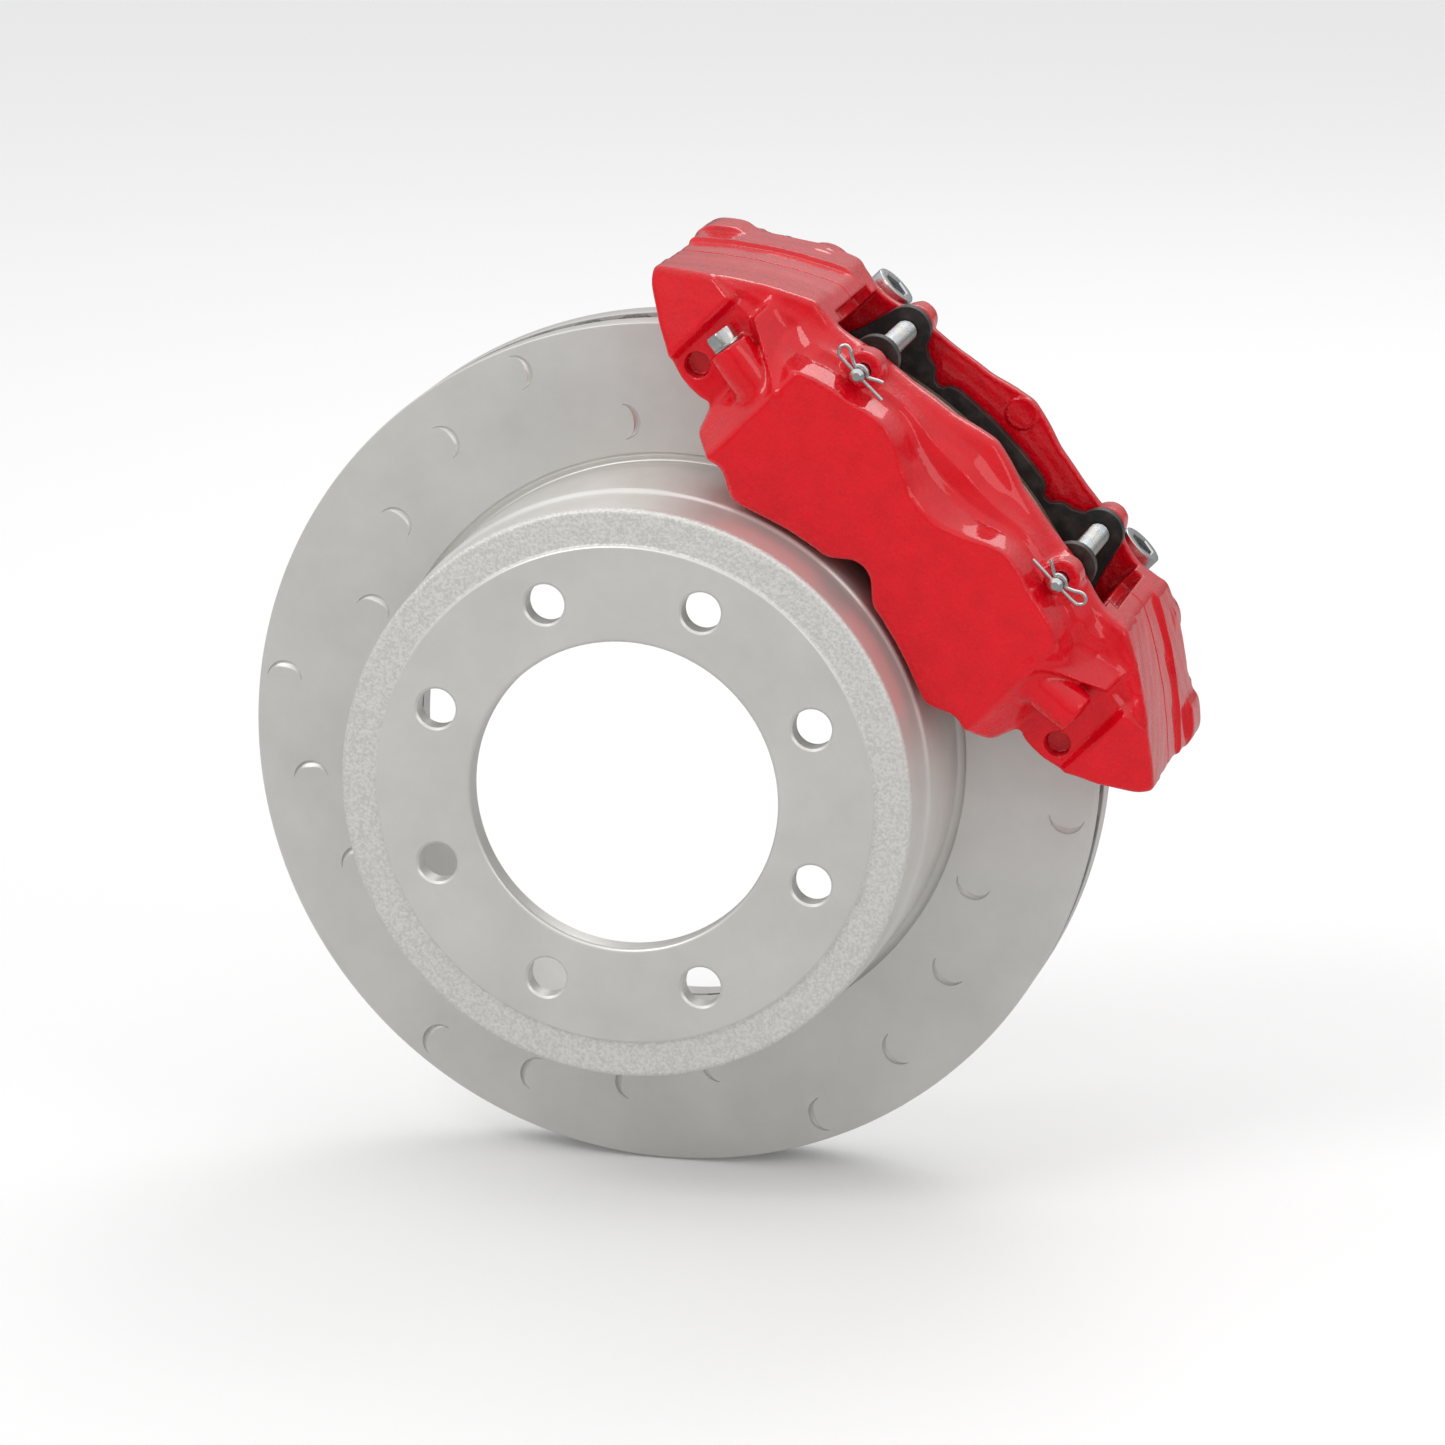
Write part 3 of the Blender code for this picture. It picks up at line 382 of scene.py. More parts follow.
def zinc_flake():
    """Disc coat: satin grey over turned iron, coarse where the casting shows, and painted shade inside
    the vents.
    """
    look = Look("zinc_flake", (0.46, 0.455, 0.44), 0.42, 0.55)
    point = look.point()
    x, y, z = look.split(point)
    radius = look.hypot(x, z)
    nose = look.times(look.ramp(radius, WHEEL_FACE_R, WHEEL_FACE_R + 0.4),
                      look.ramp(y, -5.6, -4.2, 1.0, 0.0))
    from_middle = look.size_of(look.minus(y, RING_MID_Y))
    vents = look.times(look.ramp(radius, 108.2, 108.6), look.ramp(from_middle, 5.9, 6.2, 1.0, 0.0))
    cavity = look.times(look.ramp(radius, 107.9, 108.3, 1.0, 0.0), look.ramp(y, 0.3, 2.0))
    cast = look.math("MAXIMUM", nose, vents)
    coarse = look.noise(point, 1.15)
    lines = look.add("ShaderNodeTexNoise", {"noise_dimensions": "1D"}, W=look.plus(radius, y),
                     Scale=2.4, Detail=4.0, Roughness=0.7).outputs["Fac"]
    speck = look.noise(point, 0.55)
    turned_height = look.plus(look.times(lines, 0.045), look.times(speck, 0.05))
    cast_height = look.times(coarse, look.plus(cast, look.times(cavity, 0.25)))
    look.bump(look.plus(turned_height, cast_height), 0.33)
    cloud = look.ramp(look.noise(point, 38.0, 4.0, 0.6), 0.3, 0.7)
    face = look.mix(cloud, (0.70, 0.69, 0.665), (0.79, 0.78, 0.75))
    face = look.mix(look.ramp(lines, 0.35, 0.65, 0.0, 0.10), face, (0.60, 0.59, 0.57))
    sand = look.mix(look.ramp(coarse, 0.36, 0.64), (0.67, 0.66, 0.635), (0.81, 0.80, 0.77))
    colour = look.mix(nose, face, sand)
    # The vent channels are painted dark here: this is painted shade inside the vents, on top of their
    # coarse cast surface.
    look.set("Base Color", look.mix(look.times(vents, 0.75), colour, (0.16, 0.157, 0.15)))
    rough = look.plus(cast, look.times(speck, 0.3))
    look.set("Roughness", look.ramp(rough, 0.0, 1.3, 0.36, 0.60))
    return look.material


# Distance fields: t, w and n are arrays that broadcast together, and inside is negative

def smooth_min(a, b, k):
    share = np.clip(0.5 + 0.5 * (b - a) / k, 0.0, 1.0)
    return b + (a - b) * share - k * share * (1.0 - share)


def smooth_max(a, b, k):
    return -smooth_min(-a, -b, k)


def smooth_table(points, reach, step=0.5, blur=1.5):
    """Values between the given points, with their corners rounded over about blur mm."""
    places = np.arange(0.0, reach + step, step)
    values = between(points, places)
    width = int(3 * blur / step)
    kernel = np.exp(-0.5 * (np.arange(-width, width + 1) * step / blur) ** 2)
    padded = np.concatenate([values[width:0:-1], values, np.full(width, values[-1])])
    values = np.convolve(padded, kernel / kernel.sum(), mode="valid")
    slopes = np.gradient(values, step)
    return places, values, slopes


def between(points, at):
    """Straight lines between the given points."""
    return np.interp(at, [p[0] for p in points], [p[1] for p in points])


def look_up(table, u):
    """The table's value at u, and the factor that turns a height above it into a distance."""
    places, values, slopes = table
    slope = np.interp(u, places, slopes)
    return np.interp(u, places, values), 1.0 / np.sqrt(1.0 + slope * slope)


def polygon_field(outline, x, y):
    """Signed distance to a closed outline in the plane."""
    corners = np.array(outline)
    nearest = None
    inside = None
    for a, b in zip(corners, np.roll(corners, -1, axis=0)):
        edge = b - a
        dx, dy = x - a[0], y - a[1]
        along = np.clip((dx * edge[0] + dy * edge[1]) / edge.dot(edge), 0.0, 1.0)
        gap = (dx - edge[0] * along) ** 2 + (dy - edge[1] * along) ** 2
        nearest = gap if nearest is None else np.minimum(nearest, gap)
        crosses = ((a[1] > y) != (b[1] > y)) & (
            x < (b[0] - a[0]) * (y - a[1]) / (b[1] - a[1] if b[1] != a[1] else 1e-9) + a[0])
        inside = crosses if inside is None else inside ^ crosses
    return np.sqrt(nearest) * np.where(inside, -1.0, 1.0)


def hole_field(u, n, w, centre, radius, low, high, soft=0.5):
    """A round rod along w."""
    side = np.hypot(u - centre[0], n - centre[1]) - radius
    return smooth_max(side, np.maximum(low - w, w - high), soft)


# Outlines of the caliper's halves, as points for one end, from the middle outwards

TABLE_REACH = 150.0
LOWER_EDGE = {
    "outboard": [(0, 128.5), (5, 127), (10, 122.5), (13.5, 119.6), (20, 118.6), (30, 116.2),
                 (40, 113.2), (47, 110.4), (54, 108.0), (58, 108.6), (65, 112.6), (69, 113.0),
                 (73, 111.5), (85.5, 112.4), (88, 123.5), (93, 121.0), (99, 120.2),
                 (104, 120.4), (112, 123.0), (127, 129.0), (140, 136.0), (147, 143.0)],
    "inboard": [(0, 121), (6, 119.5), (11, 115.0), (16, 110.3), (22, 108.2), (32, 106.6),
                (42, 106.2), (52, 107.6), (57, 110.5), (60, 114.5), (80, 115.6), (87, 119.0),
                (92, 125.0), (105, 127.0), (112, 129.6), (122, 129.0), (136, 134.0),
                (147, 143.0)],
}
UPPER_EDGE = [(0, 195), (8, 193.2), (20, 189.6), (40, 186.4), (57, 184.4), (71, 180.6),
              (77, 179.6), (91, 181.4), (150, 188.0)]
PLATEAU_EDGE = [(0, 160.5), (8, 161.5), (19, 166.5), (28, 172.0), (36, 174.0), (44, 172.5),
                (50, 170.0), (60, 168.5), (68, 166.0), (75, 162.5), (79, 158.5), (104, 158.0),
                (150, 158.0)]
TOP_LEVEL = {
    "outboard": [(0, 72), (74, 72), (88, 52), (102, 49.8), (110.5, 49.5), (113.5, 53.2),
                 (150, 36.5)],
    "inboard": [(0, 72), (76, 72), (88, 56), (150, 56)],
}
SLOPE_SHAPE = [(0, 0), (0.06, 0.04), (0.26, 0.50), (0.36, 0.58), (0.56, 0.64), (0.68, 0.80),
               (0.80, 0.90), (1.0, 1.0), (1.2, 1.2)]
SLOPE_STEEPNESS = [(0.0, 0.7), (0.08, 2.2), (0.24, 2.2), (0.32, 0.6), (0.54, 0.6), (0.62, 1.1),
                   (1.0, 0.7)]

lower_tables = {side: smooth_table(points, TABLE_REACH) for side, points in LOWER_EDGE.items()}
upper_table = smooth_table(UPPER_EDGE, TABLE_REACH, blur=2.0)
plateau_table = smooth_table(PLATEAU_EDGE, TABLE_REACH, blur=2.0)
level_tables = {side: smooth_table(points, TABLE_REACH, blur=0.9) for side, points in TOP_LEVEL.items()}


def top_surface(side_name, u, n):
    """Height w of the cheek's outer surface, and the factor from height to distance."""
    edge, _ = look_up(plateau_table, u)
    crest, _ = look_up(upper_table, u)
    crest = np.minimum(crest, np.sqrt(np.maximum(CAST_R[side_name] ** 2 - u * u, 1.0)))
    level, level_cos = look_up(level_tables[side_name], u)
    crest_w = CREST_W + np.clip((u - 78.0) / 20.0, 0.0, 1.0) * (END_W[side_name] - 6.0 - CREST_W)
    run = np.maximum(crest - edge, 4.0)
    share = np.clip((n - edge) / run, 0.0, 1.2)
    drop = level - np.minimum(crest_w, level)
    slope = drop / run * between(SLOPE_STEEPNESS, share)
    cosine = np.where(share > 0.0, 1.0 / np.sqrt(1.0 + slope * slope), level_cos)
    return level - drop * between(SLOPE_SHAPE, share), np.minimum(cosine, level_cos)


def half_field(side_name, t, w, n):
    """One caliper half; w counts outwards from the disc's middle plane."""
    u = np.abs(t)
    field = cheek_field(side_name, t, u, w, n)
    if side_name == "inboard":
        field = add_inboard_bosses(field, t, u, w, n)
    pin_boss = hole_field(u, n, w, (PIN_T, PIN_N), PIN_BOSS_R, 44.0, PIN_SEAT_W, 1.5)
    field = smooth_min(field, pin_boss, 3.0)
    field = add_passage(field, side_name, u, w, n)

    # Low swells and dips that a sand mould leaves
    swell = (np.sin(t * 0.31 + 1.3) * np.sin(n * 0.37 + 0.4) + np.sin(t * 0.17 - w * 0.29 + 2.0)
             * np.sin(n * 0.23 + w * 0.19))
    field = cut_hollows(field + 0.10 * swell, side_name, t, u, w, n)
    for centre, size, low, high in half_holes(side_name):
        across = t if centre[0] == 0.0 else u
        field = smooth_max(field, -hole_field(across, n, w, centre, size, low, high, 0.4), 0.7)
    return field


def cheek_field(side_name, t, u, w, n):
    """The bare casting: its outline, its curved back and its outer surface."""
    radius = np.hypot(t, n)
    low_n, low_cos = look_up(lower_tables[side_name], u)
    high_n, high_cos = look_up(upper_table, u)
    outline = smooth_max((low_n - n) * low_cos, u - HALF_LENGTH, 6.0)
    top_w, top_cos = top_surface(side_name, u, n)
    rim = BAND_R + (CAST_R[side_name] - BAND_R) * np.clip((w - BAND_W) / 1.8, 0.0, 1.0)
    outer = smooth_max(radius - rim, (n - high_n) * high_cos, 1.2)
    field = smooth_max(outline, outer, 2.5)
    return smooth_max(field, (w - top_w) * top_cos, 2.6)


def add_inboard_bosses(field, t, u, w, n):
    """Lugs round the mounting bushes, the inlet, rings round the bolts, and two thin circles."""
    lug = np.hypot(u - MOUNT_T, w - MOUNT_W) - LUG_R
    lug = smooth_max(lug, np.maximum(LUG_N - n, n - LUG_TOP_N), 3.0)
    field = smooth_min(field, lug, 4.0)
    flare = np.hypot(t, n - INLET_N) - (INLET_R + 0.8 * np.clip((CHEEK_W + 3.5 - w), 0.0, 5.0))
    inlet = smooth_max(flare, np.maximum(66.0 - w, w - INLET_W + INLET_FACE_T - 0.1), 0.7)
    field = smooth_min(field, inlet, 2.0)
    for place in BOLT_PLACES.values():
        ring = hole_field(u, n, w, place, BOLT_RING_R, 37.0, END_W["inboard"] + 1.2, 2.0)
        ring = smooth_max(ring, np.hypot(t, n) - BOLT_BOSS_R, 1.5)
        field = smooth_min(field, ring, 2.0)
    circle = np.abs(np.hypot(u - PISTON_T, n - CIRCLE_N) - CIRCLE_R) - 0.35
    circle = smooth_max(circle, CHEEK_W - 0.9 - w, 0.4)
    return smooth_max(field, -circle, 0.6)


def add_passage(field, side_name, u, w, n):
    """Drilled passage: a slanted round boss with a wedge above it."""
    cosine, sine = math.cos(PASSAGE_SLANT), math.sin(PASSAGE_SLANT)
    along = (u - PASSAGE[0]) * cosine + (n - PASSAGE[1]) * sine
    across = -(u - PASSAGE[0]) * sine + (n - PASSAGE[1]) * cosine
    axis_w = END_W[side_name] + PASSAGE_RISE
    boss = np.hypot(across, w - axis_w) - PASSAGE_R
    boss = smooth_max(boss, np.abs(along) - PASSAGE_HALF, 1.0)
    boss = np.maximum(boss, axis_w - 12.0 - w)
    field = smooth_min(field, boss, 3.0)
    start, end = WEDGE_T
    fall = CHEEK_W + 0.2 - (u - start) * (CHEEK_W - axis_w + 1.0) / (end - start)
    wedge = (w - fall) * 0.88
    wedge = smooth_max(wedge, (146.0 + 0.53 * (u - start) - n) * 0.80 + (w - axis_w) * 0.25, 0.8)
    wedge = smooth_max(wedge, (n - 158.5 - 0.12 * (u - 74.0)) * 0.75 + (w - axis_w) * 0.45, 0.8)
    wedge = smooth_max(wedge, np.maximum(u - end, np.maximum(start + 1.0 - u, 44.0 - w)), 0.8)
    return smooth_min(field, wedge, 3.5)


def cut_hollows(field, side_name, t, u, w, n):
    """Joint face, the disc's slot, the window with its ledge, and the mounting bolts' pockets."""
    field = smooth_max(field, 0.15 - w, 0.4)
    slot = smooth_max(w - LEG_W, np.hypot(t, n) - BRIDGE_IN_R, 0.8)
    field = smooth_max(field, -slot, 0.8)
    window = smooth_max(u - WINDOW_T, w - CHEEK_IN_W, 0.8)
    field = smooth_max(field, -window, 1.0)
    ledge = smooth_max(u - WINDOW_T - 4.2, np.maximum(w - 30.0, 171.5 - n), 0.8)
    field = smooth_max(field, -ledge, 0.8)
    spot = hole_field(t, n, w, (0.0, CAST_SPOT_N), CAST_SPOT_R, CHEEK_IN_W - 0.9,
                      CHEEK_IN_W + 3.0, 0.4)
    high_n, high_cos = look_up(upper_table, u)
    spot = smooth_max(spot, (n - high_n) * high_cos + 0.3, 0.4)
    field = smooth_min(field, spot, 0.4)
    if side_name == "inboard":
        pocket = np.hypot(u - MOUNT_T, np.minimum(w - MOUNT_W, 0.0)) - 12.0
        pocket = smooth_max(pocket, BUSH_TOP_N - n, 0.6)
        field = smooth_max(field, -pocket, 1.5)
        bore = smooth_max(np.hypot(u - MOUNT_T, w - MOUNT_W) - BUSH_R - 0.25, 110.0 - n, 0.5)
        field = smooth_max(field, -bore, 0.4)
    return field


def half_holes(side_name):
    """Round holes along w as (centre, radius, from w, to w); DEEP is past the casting."""
    holes = [((PISTON_T, PISTON_N), PISTON_R + 0.3, 30.0, 63.5),
             ((PISTON_T, PISTON_N), BOOT_R + 0.1, 30.0, CHEEK_IN_W + 4.0),
             ((PIN_T, PIN_N), PIN_R + 0.3, 30.0, DEEP),
             ((PIN_T, PIN_N), 6.2, PIN_SEAT_W, DEEP),
             (BLEED, 5.3, -5.0, 2.0)]
    if side_name == "inboard":
        holes += [((0.0, INLET_N), 4.6, CHEEK_W - 8.0, DEEP), (BLEED, 4.3, 40.0, DEEP)]
        for place in BOLT_PLACES.values():
            holes.append((place, BOLT_R + 0.3, -5.0, BOLT_SEAT_W))
            holes.append((place, BOLT_HEAD_R + 0.65, BOLT_SEAT_W, DEEP))
        holes.append((BLEED, 7.6, END_W["inboard"], DEEP))
    else:
        holes.append((DIMPLE, DIMPLE_R, 43.0, 70.0))
        for place in BOLT_PLACES.values():
            holes.append((place, BOLT_R + 0.3, -5.0, 39.0))
    return holes


# From field to mesh

def mesh_of_field(field, low, high, step):
    """Dual contouring: one vertex in each cell the surface crosses, placed by its planes."""
    axes = [np.arange(a, b + step, step) for a, b in zip(low, high)]
    grids = [axes[0][:, None, None], axes[1][None, :, None], axes[2][None, None, :]]
    values = np.broadcast_to(field(*grids), [len(a) for a in axes]).astype(np.float32)
    inside = values < 0.0
    count = [len(a) - 1 for a in axes]
    size = int(np.prod(count))
    planes = np.zeros((size, 3, 3), dtype=np.float32)
    pulls = np.zeros((size, 3), dtype=np.float32)
    sums = np.zeros((size, 3), dtype=np.float32)
    hits = np.zeros(size, dtype=np.float32)
    quads = []
    strides = np.array((count[1] * count[2], count[2], 1))
    origin = np.array([a[0] for a in axes])
    for axis in range(3):
        ahead = [slice(None)] * 3
        behind = [slice(None)] * 3
        ahead[axis], behind[axis] = slice(1, None), slice(None, -1)
        changed = np.argwhere(inside[tuple(ahead)] != inside[tuple(behind)])
        if not len(changed):
            continue
        there = changed.copy()
        there[:, axis] += 1
        first = values[tuple(changed.T)]
        second = values[tuple(there.T)]
        share = first / (first - second)
        points = changed * step + origin
        points[:, axis] += share * step
        normals = gradient(field, points, 0.2 * step)
        offsets = np.einsum("ij,ij->i", normals, points)
        outer = normals[:, :, None] * normals[:, None, :]
        side_axes = [a for a in range(3) if a != axis]
        corners = []
        for shift_a, shift_b in ((0, 0), (-1, 0), (-1, -1), (0, -1)):
            cell = changed.copy()
            cell[:, side_axes[0]] += shift_a
            cell[:, side_axes[1]] += shift_b
            flat = cell @ strides
            good = np.all((cell >= 0) & (cell < np.array(count)), axis=1)
            corners.append(np.where(good, flat, -1))
            keep = flat[good]
            np.add.at(planes, keep, outer[good])
            np.add.at(pulls, keep, (normals * offsets[:, None])[good])
            np.add.at(sums, keep, points[good])
            np.add.at(hits, keep, 1.0)
        corners = np.stack(corners, axis=1)
        flip = (first < 0.0) == (axis == 1)
        corners[flip] = corners[flip][:, ::-1]
        quads.append(corners[np.all(corners >= 0, axis=1)])
    used = np.flatnonzero(hits)
    mean = sums[used] / hits[used, None]
    pull = pulls[used] - np.einsum("ijk,ik->ij", planes[used], mean)
    matrix = planes[used] + 0.08 * np.eye(3, dtype=np.float32)
    move = np.linalg.solve(matrix, pull[:, :, None])[:, :, 0]
    cell = np.stack(np.unravel_index(used, count), axis=1)
    middle = (cell + 0.5) * step + origin
    spots = np.clip(mean + move, middle - 0.5 * step, middle + 0.5 * step)
    number = np.full(size, -1, dtype=np.int64)
    number[used] = np.arange(len(used))
    return spots, number[np.concatenate(quads)]


def gradient(field, points, reach):
    """Unit normals of a field at points, by four samples round each."""
    total = np.zeros_like(points)
    for corner in ((1, -1, -1), (-1, -1, 1), (-1, 1, -1), (1, 1, 1)):
        spot = points + np.array(corner) * reach
        total += field(spot[:, 0], spot[:, 1], spot[:, 2])[:, None] * np.array(corner)
    return total / np.maximum(np.linalg.norm(total, axis=1, keepdims=True), 1e-9)


def new_object(name, data):
    made = bpy.data.objects.new(name, data)
    bpy.context.scene.collection.objects.link(made)
    return made


def piece_from_arrays(name, spots, faces, material):
    mesh = bpy.data.meshes.new(name)
    mesh.vertices.add(len(spots))
    mesh.vertices.foreach_set("co", (spots * MM).astype(np.float32).ravel())
    mesh.loops.add(faces.size)
    mesh.loops.foreach_set("vertex_index", faces.astype(np.int32).ravel())
    mesh.polygons.add(len(faces))
    mesh.polygons.foreach_set("loop_start", np.arange(0, faces.size, 4, dtype=np.int32))
    mesh.update(calc_edges=True)
    mesh.validate()
    mesh.materials.append(material)
    return new_object(name, mesh)


def finish_cast(piece, ratio):
    """Thin the mesh to a share of its faces, and shade it by its larger faces."""
    thin = piece.modifiers.new("thin", "DECIMATE")
    thin.ratio = ratio
    piece.data.shade_smooth()
    normals = piece.modifiers.new("normals", "WEIGHTED_NORMAL")
    normals.weight = 70


def build_halves(paint):
    for side_name, side in SIDES.items():
        spots, faces = mesh_of_field(lambda t, w, n: half_field(side_name, t, w, n),
                                     (-150.0, -2.0, 102.0), (150.0, 84.0, 207.0), VOXEL)
        if side < 0:
            spots = spots * np.array([1.0, -1.0, 1.0])
            faces = faces[:, ::-1]
        piece = piece_from_arrays("cast_half_" + side_name, spots, faces, paint)
        piece.matrix_world = CALIPER_PLACE
        finish_cast(piece, 0.45)
        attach(piece, "caliper_body")
        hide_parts("caliper_" + side_name + "_half")


# Turned and extruded pieces

def finish_piece(name, points, faces, material, body, slot, nodes=(), place=None, angle=32.0):
    """An object from points in mm, shaded smooth up to an angle, that rides on a body."""
    mesh = bpy.data.meshes.new(name)
    mesh.from_pydata([tuple(c * MM for c in p) for p in points], [], faces)
    mesh.update()
    mesh.shade_smooth()
    mesh.set_sharp_from_angle(angle=math.radians(angle))
    mesh.materials.append(material)
    piece = new_object(name, mesh)
    if place is not None:
        piece.matrix_world = place
    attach(piece, body)
    if nodes:
        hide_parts(*nodes)
    return piece


def ring_shell(rings, loop=False):
    """Faces between rings of points; the ends are capped unless the rings close on themselves."""
    steps = len(rings[0])
    points = [p for ring in rings for p in ring]
    faces = []
    pairs = list(range(len(rings) - 1)) + ([len(rings) - 1] if loop else [])
    for k in pairs:
        low, high = k * steps, (k + 1) % len(rings) * steps
        for i in range(steps):
            j = (i + 1) % steps
            faces.append((low + i, low + j, high + j, high + i))
    if not loop:
        faces.append(tuple(reversed(range(steps))))
        faces.append(tuple(range(len(points) - steps, len(points))))
    return points, faces


def joined(*shells):
    points, faces = [], []
    for shell_points, shell_faces in shells:
        start = len(points)
        points += shell_points
        faces += [tuple(i + start for i in face) for face in shell_faces]
    return points, faces


def fillet(profile, radius, count=4, loop=False):
    """Round the corners of a (radius, height) profile."""
    made = []
    last = len(profile)
    for i, corner in enumerate(profile):
        if not loop and i in (0, last - 1):
            made.append(corner)
            continue
        before, after = Vector(profile[i - 1]), Vector(profile[(i + 1) % last])
        here = Vector(corner)
        back, ahead = before - here, after - here
        turn = math.pi - back.angle(ahead)
        if turn < math.radians(12.0):
            made.append(corner)
            continue
        trim = min(radius * math.tan(turn / 2), 0.45 * back.length, 0.45 * ahead.length)
        start, end = here + back.normalized() * trim, here + ahead.normalized() * trim
        for k in range(count + 1):
            f = k / count
            made.append(tuple((1 - f) ** 2 * start + 2 * f * (1 - f) * here + f * f * end))
    return made


def turned(profile, steps=64, loop=False):
    """Rings of a profile turned about Z; profile heights run upwards on the outside."""
    rings = []
    for radius, height in profile:
        rings.append([(radius * math.cos(a), radius * math.sin(a), height)
                      for a in (2 * math.pi * i / steps for i in range(steps))])
    return ring_shell(rings, loop)


def hex_reach(flats, angle):
    """Distance from the middle of a hexagon to its side, at an angle."""
    return flats / 2 / math.cos((angle + math.pi / 6) % (math.pi / 3) - math.pi / 6)


def hex_body(flats, low, high, chamfer=0.9, steps=72):
    """Hexagon with its corners turned off at both ends."""
    rings = []
    for height, limit in ((low, flats / 2 * 1.03), (low + chamfer, 99.0), (high - chamfer, 99.0),
                          (high, flats / 2 * 1.03)):
        ring = []
        for i in range(steps):
            angle = 2 * math.pi * i / steps
            radius = min(hex_reach(flats, angle), limit)
            ring.append((radius * math.cos(angle), radius * math.sin(angle), height))
        rings.append(ring)
    return ring_shell(rings)


def facing(side, t, n, w=0.0):
    """World matrix that lays local Z along +w on one side of the disc."""
    spot = Matrix.Translation(Vector((t, side * w, n)) * MM)
    return CALIPER_PLACE @ spot @ Matrix.Rotation(-side * math.pi / 2, 4, "X")


def upright(t, w, n):
    """World matrix that lays local Z along n."""
    return CALIPER_PLACE @ Matrix.Translation(Vector((t, w, n)) * MM)


def socket_screw(length, flats=10.0, steps=72):
    """Cap screw with an open hexagon socket; its head sits above Z = 0."""
    outside = fillet([(BOLT_R - 1.0, -length), (BOLT_R, -length + 1.0), (BOLT_R, 0.0),
                      (BOLT_HEAD_R, 0.0), (BOLT_HEAD_R, BOLT_HEAD_H),
                      (flats * 0.5 + 1.9, BOLT_HEAD_H)], 0.7, 3)
    points, faces = turned(outside, steps)
    faces.pop()
    socket = []
    for depth, scale in ((0.0, 1.12), (-0.6, 1.0), (-6.5, 1.0)):
        ring = []
        for i in range(steps):
            angle = 2 * math.pi * i / steps
            reach = hex_reach(flats, angle) * scale
            ring.append((reach * math.cos(angle), reach * math.sin(angle), BOLT_HEAD_H + depth))
        socket.append(ring)
    start = len(points) - steps
    points += [p for ring in socket for p in ring]
    for _ in socket:
        for i in range(steps):
            j = (i + 1) % steps
            faces.append((start + i, start + j, start + steps + j, start + steps + i))
        start += steps
    tip = len(points)
    points.append((0.0, 0.0, BOLT_HEAD_H - 8.6))
    faces += [(start + i, start + (i + 1) % steps, tip) for i in range(steps)]
    return points, faces


def threaded_sleeve(radius, pitch, low, high, depth, steps=40, wall=0.25):
    """Closed thin sleeve whose inside is a thread, for the wall of a tapped hole."""
    levels = int((high - low) / pitch * THREAD_LEVELS)
    rings = []
    for k in range(levels + 1):
        height = low + (high - low) * k / levels
        ring = []
        for i in range(steps):
            angle = 2 * math.pi * i / steps
            phase = (height / pitch - i / steps) % 1.0
            inner = radius - depth * (1.0 - abs(2.0 * phase - 1.0))
            ring.append((inner * math.cos(angle), inner * math.sin(angle), height))
        rings.append(ring)
    for height in (high, low):
        rings.append([((radius + wall) * math.cos(a), (radius + wall) * math.sin(a), height)
                      for a in (2 * math.pi * i / steps for i in range(steps))])
    points, faces = ring_shell(rings, loop=True)
    return points, [tuple(reversed(face)) for face in faces]


def arc(radius, first, last, count, centre=(0.0, 0.0)):
    angles = [math.radians(first + (last - first) * i / count) for i in range(count + 1)]
    return [(centre[0] + radius * math.cos(a), centre[1] + radius * math.sin(a)) for a in angles]


def arc_over(radius, t_first, t_last, count):
    return arc(radius, math.degrees(math.acos(t_first / radius)),
               math.degrees(math.acos(t_last / radius)), count)


def mirrored(right_half):
    return right_half + [(-t, n) for t, n in reversed(right_half) if t > 0.0]


def plate_shell(outline, holes, low, high):
    """Extruded (t, n) outline with round holes, as a bmesh, along w."""
    mesh_data = bmesh.new()
    loops = [outline] + [arc(radius, 0.0, 360.0 - 360.0 / 40, 39, centre)
                         for centre, radius in holes]
    edges = []
    for points in loops:
        ring = [mesh_data.verts.new((t * MM, low * MM, n * MM)) for t, n in points]
        edges += [mesh_data.edges.new((ring[i - 1], ring[i])) for i in range(len(ring))]
    bmesh.ops.triangle_fill(mesh_data, edges=edges, use_beauty=True)
    bmesh.ops.dissolve_limit(mesh_data, angle_limit=0.01, verts=mesh_data.verts[:],
                             edges=mesh_data.edges[:])
    grown = bmesh.ops.extrude_face_region(mesh_data, geom=mesh_data.faces[:], use_keep_orig=True)
    moved = [item for item in grown["geom"] if isinstance(item, bmesh.types.BMVert)]
    bmesh.ops.translate(mesh_data, vec=Vector((0.0, (high - low) * MM, 0.0)), verts=moved)
    bmesh.ops.recalc_face_normals(mesh_data, faces=mesh_data.faces[:])
    return mesh_data


def plate_piece(name, mesh_data, material, body, nodes, edge, segments=3):
    mesh = bpy.data.meshes.new(name)
    mesh_data.to_mesh(mesh)
    mesh_data.free()
    mesh.shade_smooth()
    mesh.materials.append(material)
    piece = new_object(name, mesh)
    piece.matrix_world = CALIPER_PLACE
    bevel = piece.modifiers.new("edges", "BEVEL")
    bevel.width = edge * MM
    bevel.segments = segments
    bevel.limit_method = "ANGLE"
    bevel.angle_limit = math.radians(50.0)
    bevel.harden_normals = True
    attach(piece, body)
    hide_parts(*nodes)
    return piece


def wire(name, points, radius, material, body, node, place):
    curve = bpy.data.curves.new(name, "CURVE")
    curve.dimensions = "3D"
    curve.bevel_depth = radius * MM
    curve.bevel_resolution = 4
    curve.use_fill_caps = True
    spline = curve.splines.new("POLY")
    spline.points.add(len(points) - 1)
    for point, spot in zip(spline.points, points):
        point.co = (*(c * MM for c in spot), 1.0)
    spline.use_smooth = True
    curve.materials.append(material)
    piece = new_object(name, curve)
    piece.matrix_world = place
    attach(piece, body)
    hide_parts(node)
    return piece


# Disc

